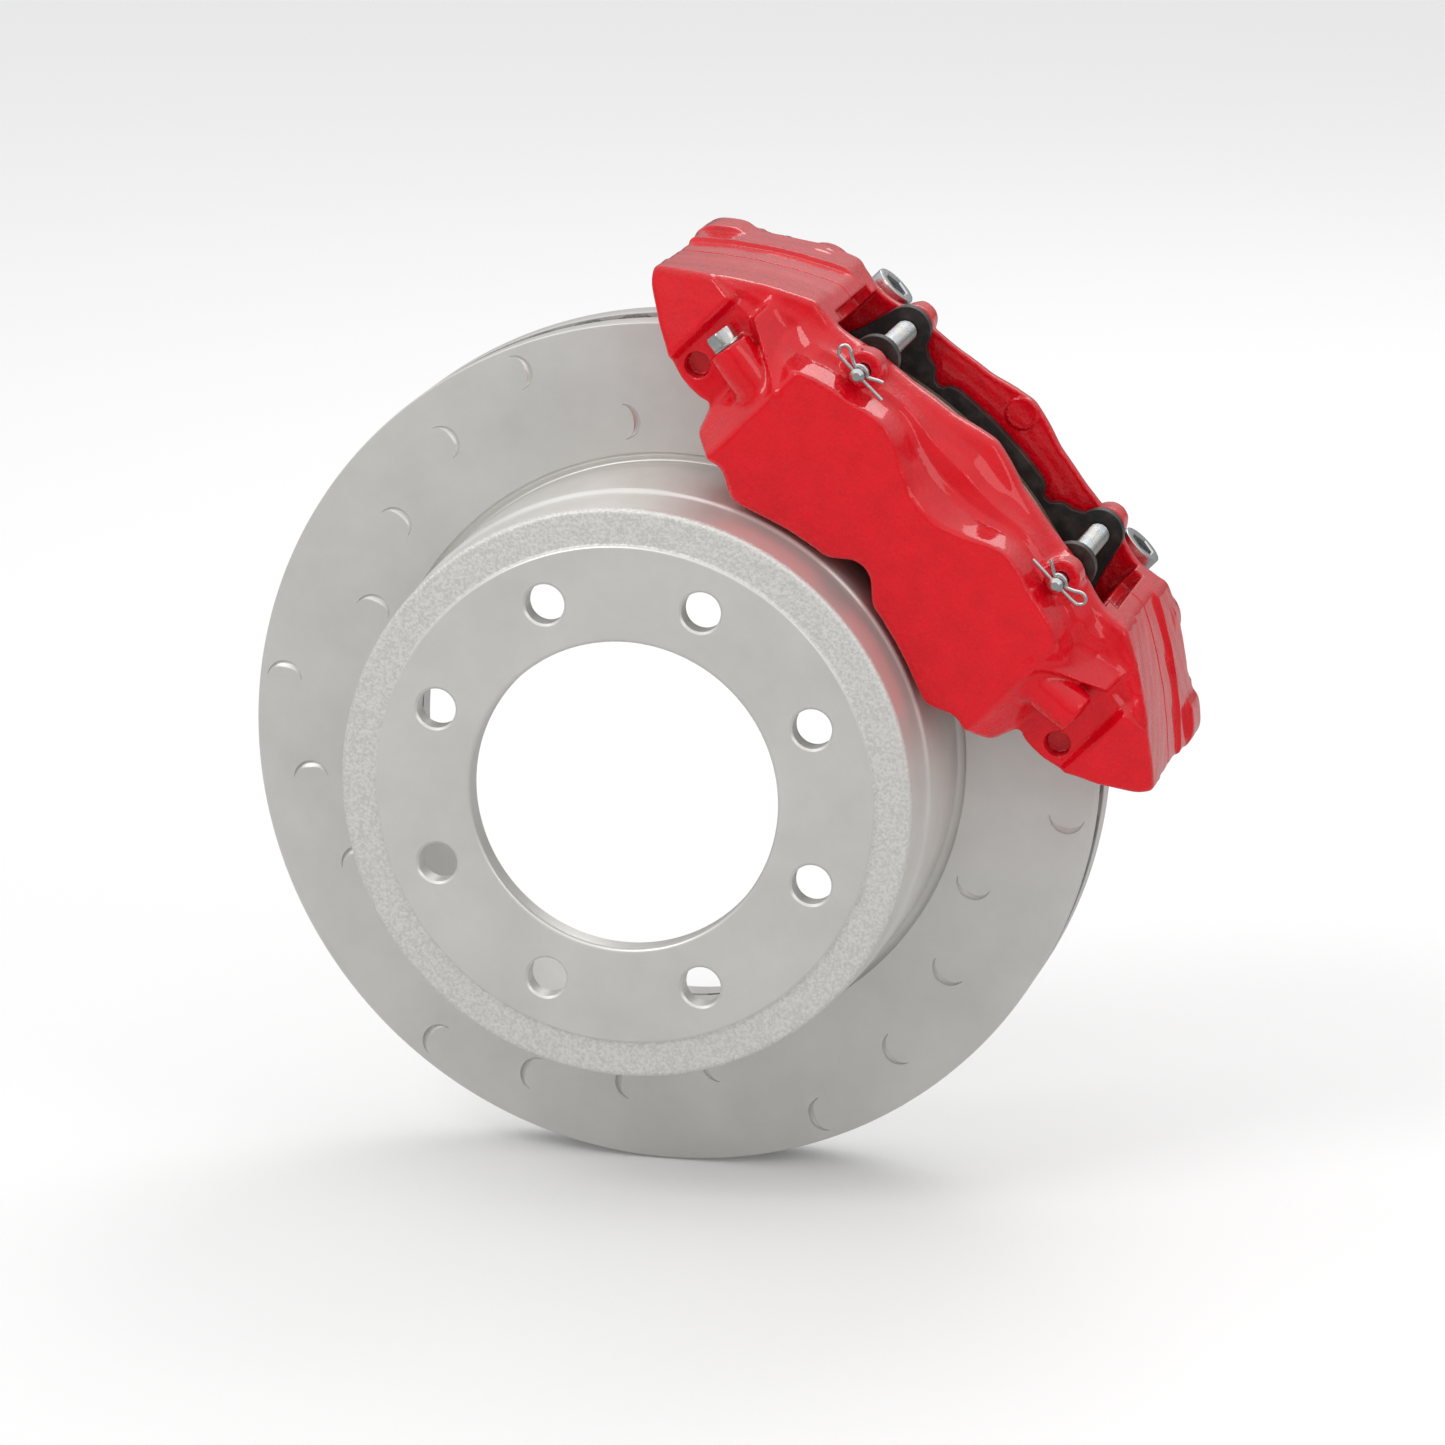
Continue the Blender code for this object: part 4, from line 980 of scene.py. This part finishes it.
def disc_profile():
    """Section of hat and ring as (radius, y), round the inside and back along the outside."""
    groove = RING_T / 2 - PLATE_T + 0.4
    hat = [(HUB_BORE_R, 0.0), (HUB_BORE_R, -HAT_PLATE_T), (WHEEL_FACE_R, -HAT_PLATE_T),
           (WHEEL_FACE_R + 0.6, -HAT_PLATE_T + 1.5), (HAT_NOSE_R, -HAT_PLATE_T + 1.5),
           (HAT_NOSE_R, 21.0), (HAT_R, 22.6), (HAT_R, RING_OUT_Y + 2.4),
           (HAT_R + 3.2, RING_OUT_Y + 2.4), (HAT_R + 4.4, RING_OUT_Y)]
    ring = [(DISC_R, RING_OUT_Y), (DISC_R, RING_MID_Y - groove),
            (DISC_R - 1.6, RING_MID_Y - groove + 0.8), (DISC_R - 1.6, RING_MID_Y + groove - 0.8),
            (DISC_R, RING_MID_Y + groove), (DISC_R, RING_IN_Y)]
    back = [(RING_BORE_R, RING_IN_Y), (RING_BORE_R, RING_OUT_Y + PLATE_T - 1.5),
            (CAVITY_R, RING_OUT_Y + PLATE_T - 1.5), (CAVITY_R, 0.0)]
    return (fillet(hat, 2.2, 5) + fillet([hat[-1]] + ring + [back[0]], 0.9, 3)[1:-1]
            + fillet([ring[-1]] + back + [hat[0]], 2.0, 4)[1:-1])


def vent_cutter():
    """Rounded wedges between the vanes."""
    pitch = 2 * math.pi / VANE_COUNT
    shells = []
    for index in range(VANE_COUNT):
        turn = pitch * (index + 0.5)
        rings = []
        for radius, flare in ((CAVITY_R - 3.0, 0.0), (DISC_R - 9.0, 0.0), (DISC_R - 4.0, 0.35),
                              (DISC_R + 5.0, 2.2)):
            half = (pitch * min(radius, DISC_R) - VANE_T) / 2 + flare * 0.5
            tall = RING_T / 2 - PLATE_T
            ring = []
            for i in range(VENT_STEPS):
                angle = 2 * math.pi * (i + 0.5) / VENT_STEPS
                c, s = math.cos(angle), math.sin(angle)
                across = half * math.copysign(abs(c) ** VENT_SQUARENESS, c)
                up = tall * math.copysign(abs(s) ** VENT_SQUARENESS, s)
                ring.append((radius * math.cos(turn) - across * math.sin(turn),
                             RING_MID_Y + up,
                             radius * math.sin(turn) + across * math.cos(turn)))
            rings.append(ring)
        shells.append(ring_shell(rings))
    return joined(*shells)


def stud_cutter():
    """Rods with a chamfer at both faces of the hat."""
    shells = []
    profile = [(STUD_HOLE_R + 1.0, -HAT_PLATE_T - 4.0), (STUD_HOLE_R + 1.0, -HAT_PLATE_T - 0.05),
               (STUD_HOLE_R, -HAT_PLATE_T + 0.9), (STUD_HOLE_R, -0.8), (STUD_HOLE_R + 0.8, 0.05),
               (STUD_HOLE_R + 0.8, 4.0)]
    for index in range(STUD_COUNT):
        angle = 2 * math.pi * (index + 0.5) / STUD_COUNT
        x, z = STUD_CIRCLE_R * math.cos(angle), STUD_CIRCLE_R * math.sin(angle)
        points, faces = turned(profile, 48)
        shells.append(([(px + x, height, pz + z) for px, pz, height in points],
                       [tuple(reversed(f)) for f in faces]))
    return joined(*shells)


def crescent_cutter():
    """Moon-shaped grooves on both faces, deepest along the outer arc."""
    shells = []
    steps = 22
    number = CRESCENT_GROUPS * len(CRESCENT_RADII)
    for face_y, outward in ((RING_OUT_Y, -1.0), (RING_IN_Y, 1.0)):
        for index in range(number):
            place = math.radians(CRESCENT_START + 360.0 / number * index)
            ring_r = CRESCENT_RADII[index % len(CRESCENT_RADII)]
            rings = []
            for k in range(steps + 1):
                angle = math.radians(CRESCENT_END * (2.0 * k / steps - 1.0))
                width = 0.35 + 2.5 * math.cos(angle * 90.0 / CRESCENT_FADE) ** 1.5
                deep = 0.25 + CRESCENT_DEPTH * math.cos(angle)
                ring = []
                for reach, depth in ((CRESCENT_R, -1.0), (CRESCENT_R, 0.0),
                                     (CRESCENT_R - 0.25, deep),
                                     (CRESCENT_R - width * 0.55, deep * 0.75),
                                     (CRESCENT_R - width, 0.0), (CRESCENT_R - width, -1.0)):
                    along = reach * math.cos(angle) - 4.6
                    out = ring_r + reach * math.sin(angle)
                    x = out * math.cos(place) + along * math.sin(place)
                    z = out * math.sin(place) - along * math.cos(place)
                    ring.append((x, face_y - outward * depth, z))
                rings.append(ring if outward < 0 else ring[::-1])
            shells.append(ring_shell(rings))
    return joined(*shells)


def face_outwards(mesh):
    mesh_data = bmesh.new()
    mesh_data.from_mesh(mesh)
    bmesh.ops.recalc_face_normals(mesh_data, faces=mesh_data.faces[:])
    mesh_data.to_mesh(mesh)
    mesh_data.free()


def cut(target, points, faces, name):
    """Add a boolean that takes a shell away from the target; returns the shell's object."""
    mesh = bpy.data.meshes.new(name)
    mesh.from_pydata([tuple(c * MM for c in p) for p in points], [], faces)
    face_outwards(mesh)
    tool = new_object(name, mesh)
    modifier = target.modifiers.new(name, "BOOLEAN")
    modifier.object = tool
    modifier.operation = "DIFFERENCE"
    modifier.solver = "MANIFOLD"
    return tool


def apply_modifiers(piece):
    """Bake the modifiers into the mesh and shade it again."""
    evaluated = piece.evaluated_get(bpy.context.evaluated_depsgraph_get())
    mesh = bpy.data.meshes.new_from_object(evaluated)
    old = piece.data
    piece.modifiers.clear()
    piece.data = mesh
    bpy.data.meshes.remove(old)
    mesh.shade_smooth()
    mesh.set_sharp_from_angle(angle=math.radians(30.0))


def build_disc():
    points, faces = turned(disc_profile(), VANE_COUNT * 6, loop=True)
    points = [(x, height, z) for x, z, height in points]
    disc = finish_piece("disc_visual", points, faces, zinc_flake(), "disc", "disc_iron",
                        ["brake_disc"])
    face_outwards(disc.data)
    tools = [cut(disc, *vent_cutter(), "vent_cutter"), cut(disc, *stud_cutter(), "stud_cutter"),
             cut(disc, *crescent_cutter(), "crescent_cutter")]
    apply_modifiers(disc)
    for tool in tools:
        bpy.data.objects.remove(tool, do_unlink=True)


# Bracket

rear_pocket = ([(66.0, -8.0), (100.0, 23.5)] + arc(17.0, 128.0, 66.0, 8, (114.0, 14.5))
               + [(142.0, 19.0), (142.0, -8.0)])
bracket_table = smooth_table(BRACKET_LOWER, TABLE_REACH, blur=1.6)


def bracket_field(t, w, n):
    """The bracket: u along it from the middle, z up from its base, d back from its front."""
    u = np.abs(t)
    z = n - BRACKET_BASE_N
    d = w - BRACKET_FRONT_W
    faces = np.maximum(-d, d - BRACKET_DEPTH)
    low, low_cos = look_up(bracket_table, u)
    plate = smooth_max(np.maximum((low - z) * low_cos, u - BRACKET_HALF), faces, 0.9)
    ear = smooth_max(plate, np.maximum(z - 38.0, 76.5 - u), 0.9)
    ear = smooth_max(ear, smooth_min(d - 50.0, z - 34.0, 4.0), 0.5)
    web = smooth_max(plate, np.maximum(z - 27.6, u - 100.0), 0.9)
    wall = smooth_max(plate, np.maximum(np.maximum(z - 37.4, 36.0 - d), u - 90.0), 0.9)
    end = np.hypot(np.minimum(u - MOUNT_T - 0.5, 0.0), d - 29.0 - BLOCK_ROUND_R) - BLOCK_ROUND_R
    block = smooth_max(end, np.maximum(np.maximum(z - BLOCK_TOP, 14.0 - z), u - BLOCK_HALF), 0.9)
    field = smooth_min(smooth_min(web, wall, 5.0), ear, 3.0)
    field = smooth_min(field, block, 5.0)
    field = smooth_max(field, faces, 0.9)
    field = smooth_max(field, u - np.where(z > 39.0, BLOCK_HALF, BRACKET_HALF), 0.9)
    pocket = smooth_max(polygon_field(rear_pocket, u, z), POCKET_DEPTH - d, 3.0)
    field = smooth_max(field, -pocket, 0.8)
    axle = np.hypot(u - AXLE_HOLE[0], z - AXLE_HOLE[1])
    field = smooth_max(field, AXLE_HOLE_R - axle, 0.8)
    field = smooth_max(field, AXLE_HOLE_R + 1.35 - axle - np.maximum(d, 0.0), 0.3)
    mount = np.hypot(u - MOUNT_T, w - MOUNT_W)
    return smooth_max(field, MOUNT_HOLE_R - mount, 0.8)


def build_bracket():
    spots, faces = mesh_of_field(
        bracket_field, (-136.5, BRACKET_FRONT_W - 2.0, BRACKET_BASE_N - 2.0),
        (136.5, BRACKET_FRONT_W + 60.0, BRACKET_BASE_N + 52.0), VOXEL)
    piece = piece_from_arrays("milled_bracket", spots, faces, milled_steel())
    piece.matrix_world = CALIPER_PLACE
    finish_cast(piece, 0.5)
    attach(piece, "caliper_body")
    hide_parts("mounting_bracket")


# Fasteners and fittings

def build_fasteners(zinc, paint):
    seat = BOLT_SEAT_W
    for end_name, end in ENDS.items():
        for place_name, (t, n) in BOLT_PLACES.items():
            finish_piece("head_%s_%s" % (end_name, place_name), *socket_screw(seat + 38.0), paint,
                         "caliper_body", "red_paint",
                         ["bridge_bolt_%s_%s" % (end_name, place_name)],
                         facing(1, end * t, n, seat))
        tube = fillet([(6.4, LUG_N), (BUSH_R, LUG_N), (BUSH_R, BUSH_TOP_N), (6.4, BUSH_TOP_N)],
                      0.6, 3, loop=True)
        finish_piece("bush_" + end_name, *turned(tube, 64, loop=True), zinc, "caliper_body",
                     "plated_steel", ["mount_bush_" + end_name],
                     upright(end * MOUNT_T, MOUNT_W, 0.0))
        low = BUSH_TOP_N + 0.3
        ring = fillet([(6.4, low), (11.2, low), (11.2, low + 2.3), (6.4, low + 2.3)], 0.6, 3,
                      loop=True)
        finish_piece("washer_" + end_name, *turned(ring, 64, loop=True), zinc, "caliper_body",
                     "plated_steel", ["mount_washer_" + end_name],
                     upright(end * MOUNT_T, MOUNT_W, 0.0))
        finish_piece("radial_bolt_" + end_name, *socket_screw(82.0), zinc, "caliper_body",
                     "plated_steel", ["mount_bolt_" + end_name],
                     upright(end * MOUNT_T, MOUNT_W, low + 2.6))


def piston_profile():
    """Section of a hollow piston, with a groove for its boot near the mouth."""
    nose, end = PISTON_NOSE_W, PISTON_NOSE_W + PISTON_LENGTH
    groove_r = PISTON_R - 1.2
    return fillet([(0.05, end), (PISTON_R, end), (PISTON_R, nose + 6.8), (groove_r, nose + 6.8),
                   (groove_r, nose + 4.4), (PISTON_R, nose + 4.4), (PISTON_R, nose),
                   (17.0, nose), (17.0, nose + 8.0), (0.05, nose + 8.0)], 0.6, 3)


def build_hydraulics(zinc, rubber, piston_steel):
    for end_name, end in ENDS.items():
        build_bleeder(zinc, rubber, end_name, end)
    for side_name, side in SIDES.items():
        build_plug(zinc, side_name, side)
        for end_name, end in ENDS.items():
            build_piston(rubber, piston_steel, side_name + "_" + end_name,
                         facing(side, end * PISTON_T, PISTON_N))
    build_inlet()


def build_bleeder(zinc, rubber, end_name, end):
    """Bleed screw with its cap, and the seal where the passage crosses the joint."""
    seat = END_W["inboard"]
    stem = fillet([(2.0, -14.0), (4.0, -12.0), (4.0, 0.5), (2.7, 0.5), (2.7, 9.6), (3.1, 11.2),
                   (2.5, 13.5)], 0.3, 2)
    screw = joined(turned(stem, 40), hex_body(10.0, 0.4, 6.0))
    finish_piece("bleeder_" + end_name, *screw, zinc, "bleed_screw_" + end_name,
                 "plated_steel", ["bleed_screw_" + end_name],
                 facing(1, end * BLEED[0], BLEED[1], seat))
    shell = fillet([(3.4, 0.0), (5.7, 0.0), (5.9, 0.9), (5.7, 1.7), (4.8, 2.2), (4.8, 3.0),
                    (5.5, 3.4), (5.6, 4.1), (5.4, 4.7), (4.8, 5.1), (4.8, 5.7), (5.6, 6.3),
                    (5.7, 7.6), (5.0, 9.2), (3.4, 10.2), (1.6, 10.6), (0.05, 10.65),
                    (0.05, 7.9), (3.4, 7.7)], 0.4, 3, loop=True)
    finish_piece("dust_cap_" + end_name, *turned(shell, 56, loop=True), rubber,
                 "bleed_cap_" + end_name, "rubber", ["bleed_cap_" + end_name],
                 facing(1, end * BLEED[0], BLEED[1], seat + 6.4))
    ring = fillet([(3.1, 0.35), (4.9, 0.35), (4.9, 1.7), (3.1, 1.7)], 0.5, 3, loop=True)
    finish_piece("joint_seal_" + end_name, *turned(ring, 40, loop=True), rubber,
                 "caliper_body", "rubber", ["crossover_seal_" + end_name],
                 facing(1, end * BLEED[0], BLEED[1]))


def build_plug(zinc, side_name, side):
    """Hexagon plug at the left end of the drilled passage."""
    plug = joined(turned(fillet([(4.5, -6.0), (4.5, 0.3), (6.2, 0.3), (6.2, 1.6), (4.0, 1.6)],
                                0.3, 2), 48), hex_body(10.5, 1.3, 7.2))
    spot = Vector((-PASSAGE[0] - PASSAGE_HALF * math.cos(PASSAGE_SLANT),
                   side * (END_W[side_name] + PASSAGE_RISE),
                   PASSAGE[1] + PASSAGE_HALF * math.sin(PASSAGE_SLANT))) * MM
    place = (CALIPER_PLACE @ Matrix.Translation(spot)
             @ Matrix.Rotation(PASSAGE_SLANT - math.pi / 2, 4, "Y"))
    finish_piece("hex_plug_" + side_name, *plug, zinc, "caliper_body", "plated_steel",
                 ["passage_plug_" + side_name], place)


def build_piston(rubber, piston_steel, tag, place):
    """Piston with its square seal and its dust boot."""
    points, faces = turned(piston_profile(), 80, loop=True)
    finish_piece("piston_body_" + tag, points, [f[::-1] for f in faces], piston_steel,
                 "piston_" + tag, "piston_steel", ["piston_" + tag], place)
    ring = fillet([(PISTON_R + 0.1, SEAL_W[0]), (SEAL_R, SEAL_W[0]), (SEAL_R, SEAL_W[1]),
                   (PISTON_R + 0.1, SEAL_W[1])], 0.3, 2, loop=True)
    finish_piece("square_seal_" + tag, *turned(ring, 80, loop=True), rubber,
                 "caliper_body", "rubber", ["piston_seal_" + tag], place)
    fold = fillet([(PISTON_R + 0.3, 39.2), (22.2, 38.7), (23.4, 39.4), (24.7, 38.4),
                   (24.7, 41.7), (PISTON_R + 0.3, 41.7)], 0.4, 3, loop=True)
    finish_piece("boot_" + tag, *turned(fold, 80, loop=True), rubber, "caliper_body",
                 "rubber", ["dust_boot_" + tag], place)


def build_inlet():
    """Bare machined face and thread of the hose inlet."""
    alloy = bright_zinc("machined_alloy", (0.76, 0.77, 0.74), 0.36)
    face_r, back_w = INLET_R - 0.35, INLET_W - INLET_FACE_T
    face = fillet([(4.7, back_w), (face_r, back_w), (face_r, INLET_W), (4.9, INLET_W)], 0.2, 2,
                  loop=True)
    finish_piece("inlet_face", *turned(face, 72, loop=True), alloy, "caliper_body",
                 "plated_steel", place=facing(1, 0.0, INLET_N))
    finish_piece("inlet_thread", *threaded_sleeve(4.85, 1.0, CHEEK_W - 6.0, INLET_W - 0.1, 0.55),
                 alloy, "caliper_body", "plated_steel", place=facing(1, 0.0, INLET_N))


# Pads

def backing_outline():
    """Plate with two ears for the pins and a notch beside each."""
    ear = arc(10.0, 172, 6, 16, (PIN_T, PIN_N))
    right = [(0.0, 121.5), (25.0, 119.0), (50.0, 110.8), (66.0, 112.0)]
    right += arc(4.0, -60, 0, 4, (72.4, 119.0)) + arc(5.0, 0, 40, 4, (71.4, 150.0))
    right += [(70.0, 166.0)] + ear[::-1]
    right += [(42.5, 177.8), (37.5, 176.6), (35.6, 174.6), (34.0, 172.9), (31.5, 172.4),
              (29.4, 173.4), (28.4, 175.6), (26.5, 176.8)]
    right += arc_over(179.2, 24.0, 0.001, 8)
    return mirrored(right)


def friction_outline():
    """Friction block, a little smaller than its plate."""
    right = [(0.0, 123.4), (25.0, 121.0), (50.0, 112.8), (64.0, 114.0), (66.0, 116.0)]
    right += arc_over(173.0, 66.0, 0.001, 16)
    return mirrored(right)


def build_pads(zinc, black):
    compound = pad_compound()
    shim_outline = mirrored([(0.0, 124.0), (58.0, 118.0)] + arc(4.0, -80, 0, 4, (58.0, 122.5))
                            + [(62.0, 156.0), (57.0, 163.0), (0.0, 168.0)])
    pins = [((end * PIN_T, PIN_N), PIN_R + 0.5) for end in ENDS.values()]
    for side_name, side in SIDES.items():
        body = side_name + "_pad"
        backing = plate_shell(backing_outline(), pins, *(side * w for w in BACKING_W))
        plate_piece("plate_" + side_name, backing, black, body,
                    ["backing_plate_" + side_name], 0.7)
        block = plate_shell(friction_outline(), [], *(side * w for w in FRICTION_W))
        plate_piece("compound_" + side_name, block, compound, body,
                    ["friction_pad_" + side_name], 1.4, 2)
        shim = plate_shell(shim_outline, [], *(side * w for w in SHIM_W))
        plate_piece("shim_" + side_name, shim, zinc, body,
                    ["pad_shim_" + side_name], 0.2, 1)


def build_pins(zinc):
    for end_name, end in ENDS.items():
        clip_at = -PIN_CLIP_W
        profile = fillet([(1.6, clip_at - 3.5), (PIN_R, clip_at - 2.2), (PIN_R, 57.3), (5.3, 57.3),
                          (5.3, 60.2), (4.9, 61.9), (3.6, 63.1), (1.6, 63.6)], 0.4, 3)
        finish_piece("pin_" + end_name, *turned(profile, 40), zinc, "caliper_body",
                     "plated_steel", ["retaining_pin_" + end_name],
                     facing(1, end * PIN_T, PIN_N))
        build_spring(zinc, end_name, end)
        build_clip(zinc, end_name, end)


def build_spring(zinc, end_name, end):
    """Close-wound spring between the pads' ears."""
    per_turn = 16
    count = SPRING_TURNS * per_turn
    points = []
    for index in range(count + 1):
        angle = 2 * math.pi * index / per_turn
        along = SPRING_HALF * (1.0 - 2.0 * index / count)
        points.append((SPRING_R * math.cos(angle), along, SPRING_R * math.sin(angle)))
    wire("coil_" + end_name, points, SPRING_WIRE_R, zinc, "caliper_body",
         "pin_spring_" + end_name, upright(end * PIN_T, 0.0, PIN_N))


def build_clip(zinc, end_name, end):
    """Hairpin: a straight leg through the pin and a bowed leg that grips round it."""
    turn_over = [(-11.6, 0.9), (-12.7, 2.6), (-12.2, 4.4), (-10.4, 5.2), (-8.4, 4.6), (-6.4, 3.2)]
    bow = arc(3.9, 150, 35, 10)
    tail = [(5.2, 3.3), (7.4, 4.6), (9.0, 5.2)]
    path = [(13.5, 0.0), (0.0, 0.0), (-9.6, 0.1)] + turn_over + bow + tail
    smooth = smooth_path([(-end * a, 0.0, b) for a, b in path], 6)
    wire("hairpin_" + end_name, smooth, CLIP_WIRE_R, zinc, "caliper_body",
         "pin_clip_" + end_name, upright(end * PIN_T, -PIN_CLIP_W, PIN_N))


def smooth_path(points, steps):
    """Catmull-Rom curve through the points."""
    spots = [Vector(p) for p in points]
    made = []
    for i in range(len(spots) - 1):
        a, b = spots[max(i - 1, 0)], spots[i]
        c, d = spots[i + 1], spots[min(i + 2, len(spots) - 1)]
        for k in range(steps):
            f = k / steps
            made.append(tuple(0.5 * (2 * b + (c - a) * f + (2 * a - 5 * b + 4 * c - d) * f * f
                                     + (3 * b - a - 3 * c + d) * f ** 3)))
    return made + [tuple(spots[-1])]


paint = red_paint()
zinc = bright_zinc()
rubber = black_rubber()
build_disc()
build_halves(paint)
build_bracket()
build_fasteners(zinc, paint)
build_hydraulics(zinc, rubber, bright_zinc("ground_steel", (0.72, 0.72, 0.72), 0.2))
build_pads(zinc, plate_black())
build_pins(zinc)


# Stage

def build_stage():
    floor_z = -(DISC_R + 0.6) * MM
    mesh = bpy.data.meshes.new("floor")
    mesh.from_pydata([(-6, -6, floor_z), (6, -6, floor_z), (6, 6, floor_z), (-6, 6, floor_z)],
                     [], [(0, 1, 2, 3)])
    floor = new_object("floor", mesh)
    mesh.materials.append(floor_white())
    for name, place, size, power in (
            ("key", (-1.2, -1.6, 1.9), 1.0, 16.0), ("fill", (1.9, -1.2, 1.1), 1.0, 5.0),
            ("back", (0.3, 1.7, 1.6), 1.2, 10.0)):
        lamp = bpy.data.lights.new(name, "AREA")
        lamp.size = size
        lamp.energy = power
        light = new_object(name, lamp)
        light.location = place
        light.rotation_euler = (Vector((0.0, 0.09, 0.0)) - Vector(place)).to_track_quat(
            "-Z", "Y").to_euler()


def floor_white():
    """White floor that looks darker in reflections, so that paint and metal keep their depth."""
    look = Look("floor_white", (0.93, 0.93, 0.93), 0.6)
    rays = look.add("ShaderNodeLightPath")
    look.set("Base Color", look.mix(rays.outputs["Is Glossy Ray"], (0.93, 0.93, 0.93),
                                    (0.30, 0.30, 0.30)))
    look.set("Emission Color", (1.0, 1.0, 1.0))
    look.set("Emission Strength", 0.06)
    return look.material


def build_world():
    """White behind the object, softer for diffuse light, and banded for reflections."""
    world = bpy.data.worlds.new("studio")
    world.use_nodes = True
    nodes = Nodes(world.node_tree)
    background = world.node_tree.nodes["Background"]
    rays = nodes.add("ShaderNodeLightPath").outputs
    height = nodes.split(nodes.add("ShaderNodeTexCoord").outputs["Generated"])[2]
    band = nodes.ramp(height, -0.05, 0.85, 0.11, 1.15)
    level = nodes.ramp(rays["Is Glossy Ray"], 0.0, 1.0, 0.78, band)
    level = nodes.ramp(rays["Is Camera Ray"], 0.0, 1.0, level, 1.0)
    nodes.feed(background.inputs["Color"], (1.0, 1.0, 1.0))
    nodes.feed(background.inputs["Strength"], level)
    bpy.context.scene.world = world


def build_camera():
    """Camera at the angle from which the photo shows its standing disc."""
    azimuth, elevation, distance = math.radians(13.0), math.radians(14.0), 2.86
    data = bpy.data.cameras.new("camera")
    data.sensor_width = 36.0
    data.lens = 176.0
    data.clip_end = 50.0
    camera = new_object("camera", data)
    level = math.cos(elevation)
    back = Vector((math.sin(azimuth) * level, -math.cos(azimuth) * level, math.sin(elevation)))
    aim = Vector((0.022, 0.07, 0.012))
    camera.location = aim + back * distance
    camera.rotation_euler = (-back).to_track_quat("-Z", "Y").to_euler()
    bpy.context.scene.camera = camera


bpy.context.scene.view_settings.view_transform = "Standard"
build_stage()
build_world()
build_camera()
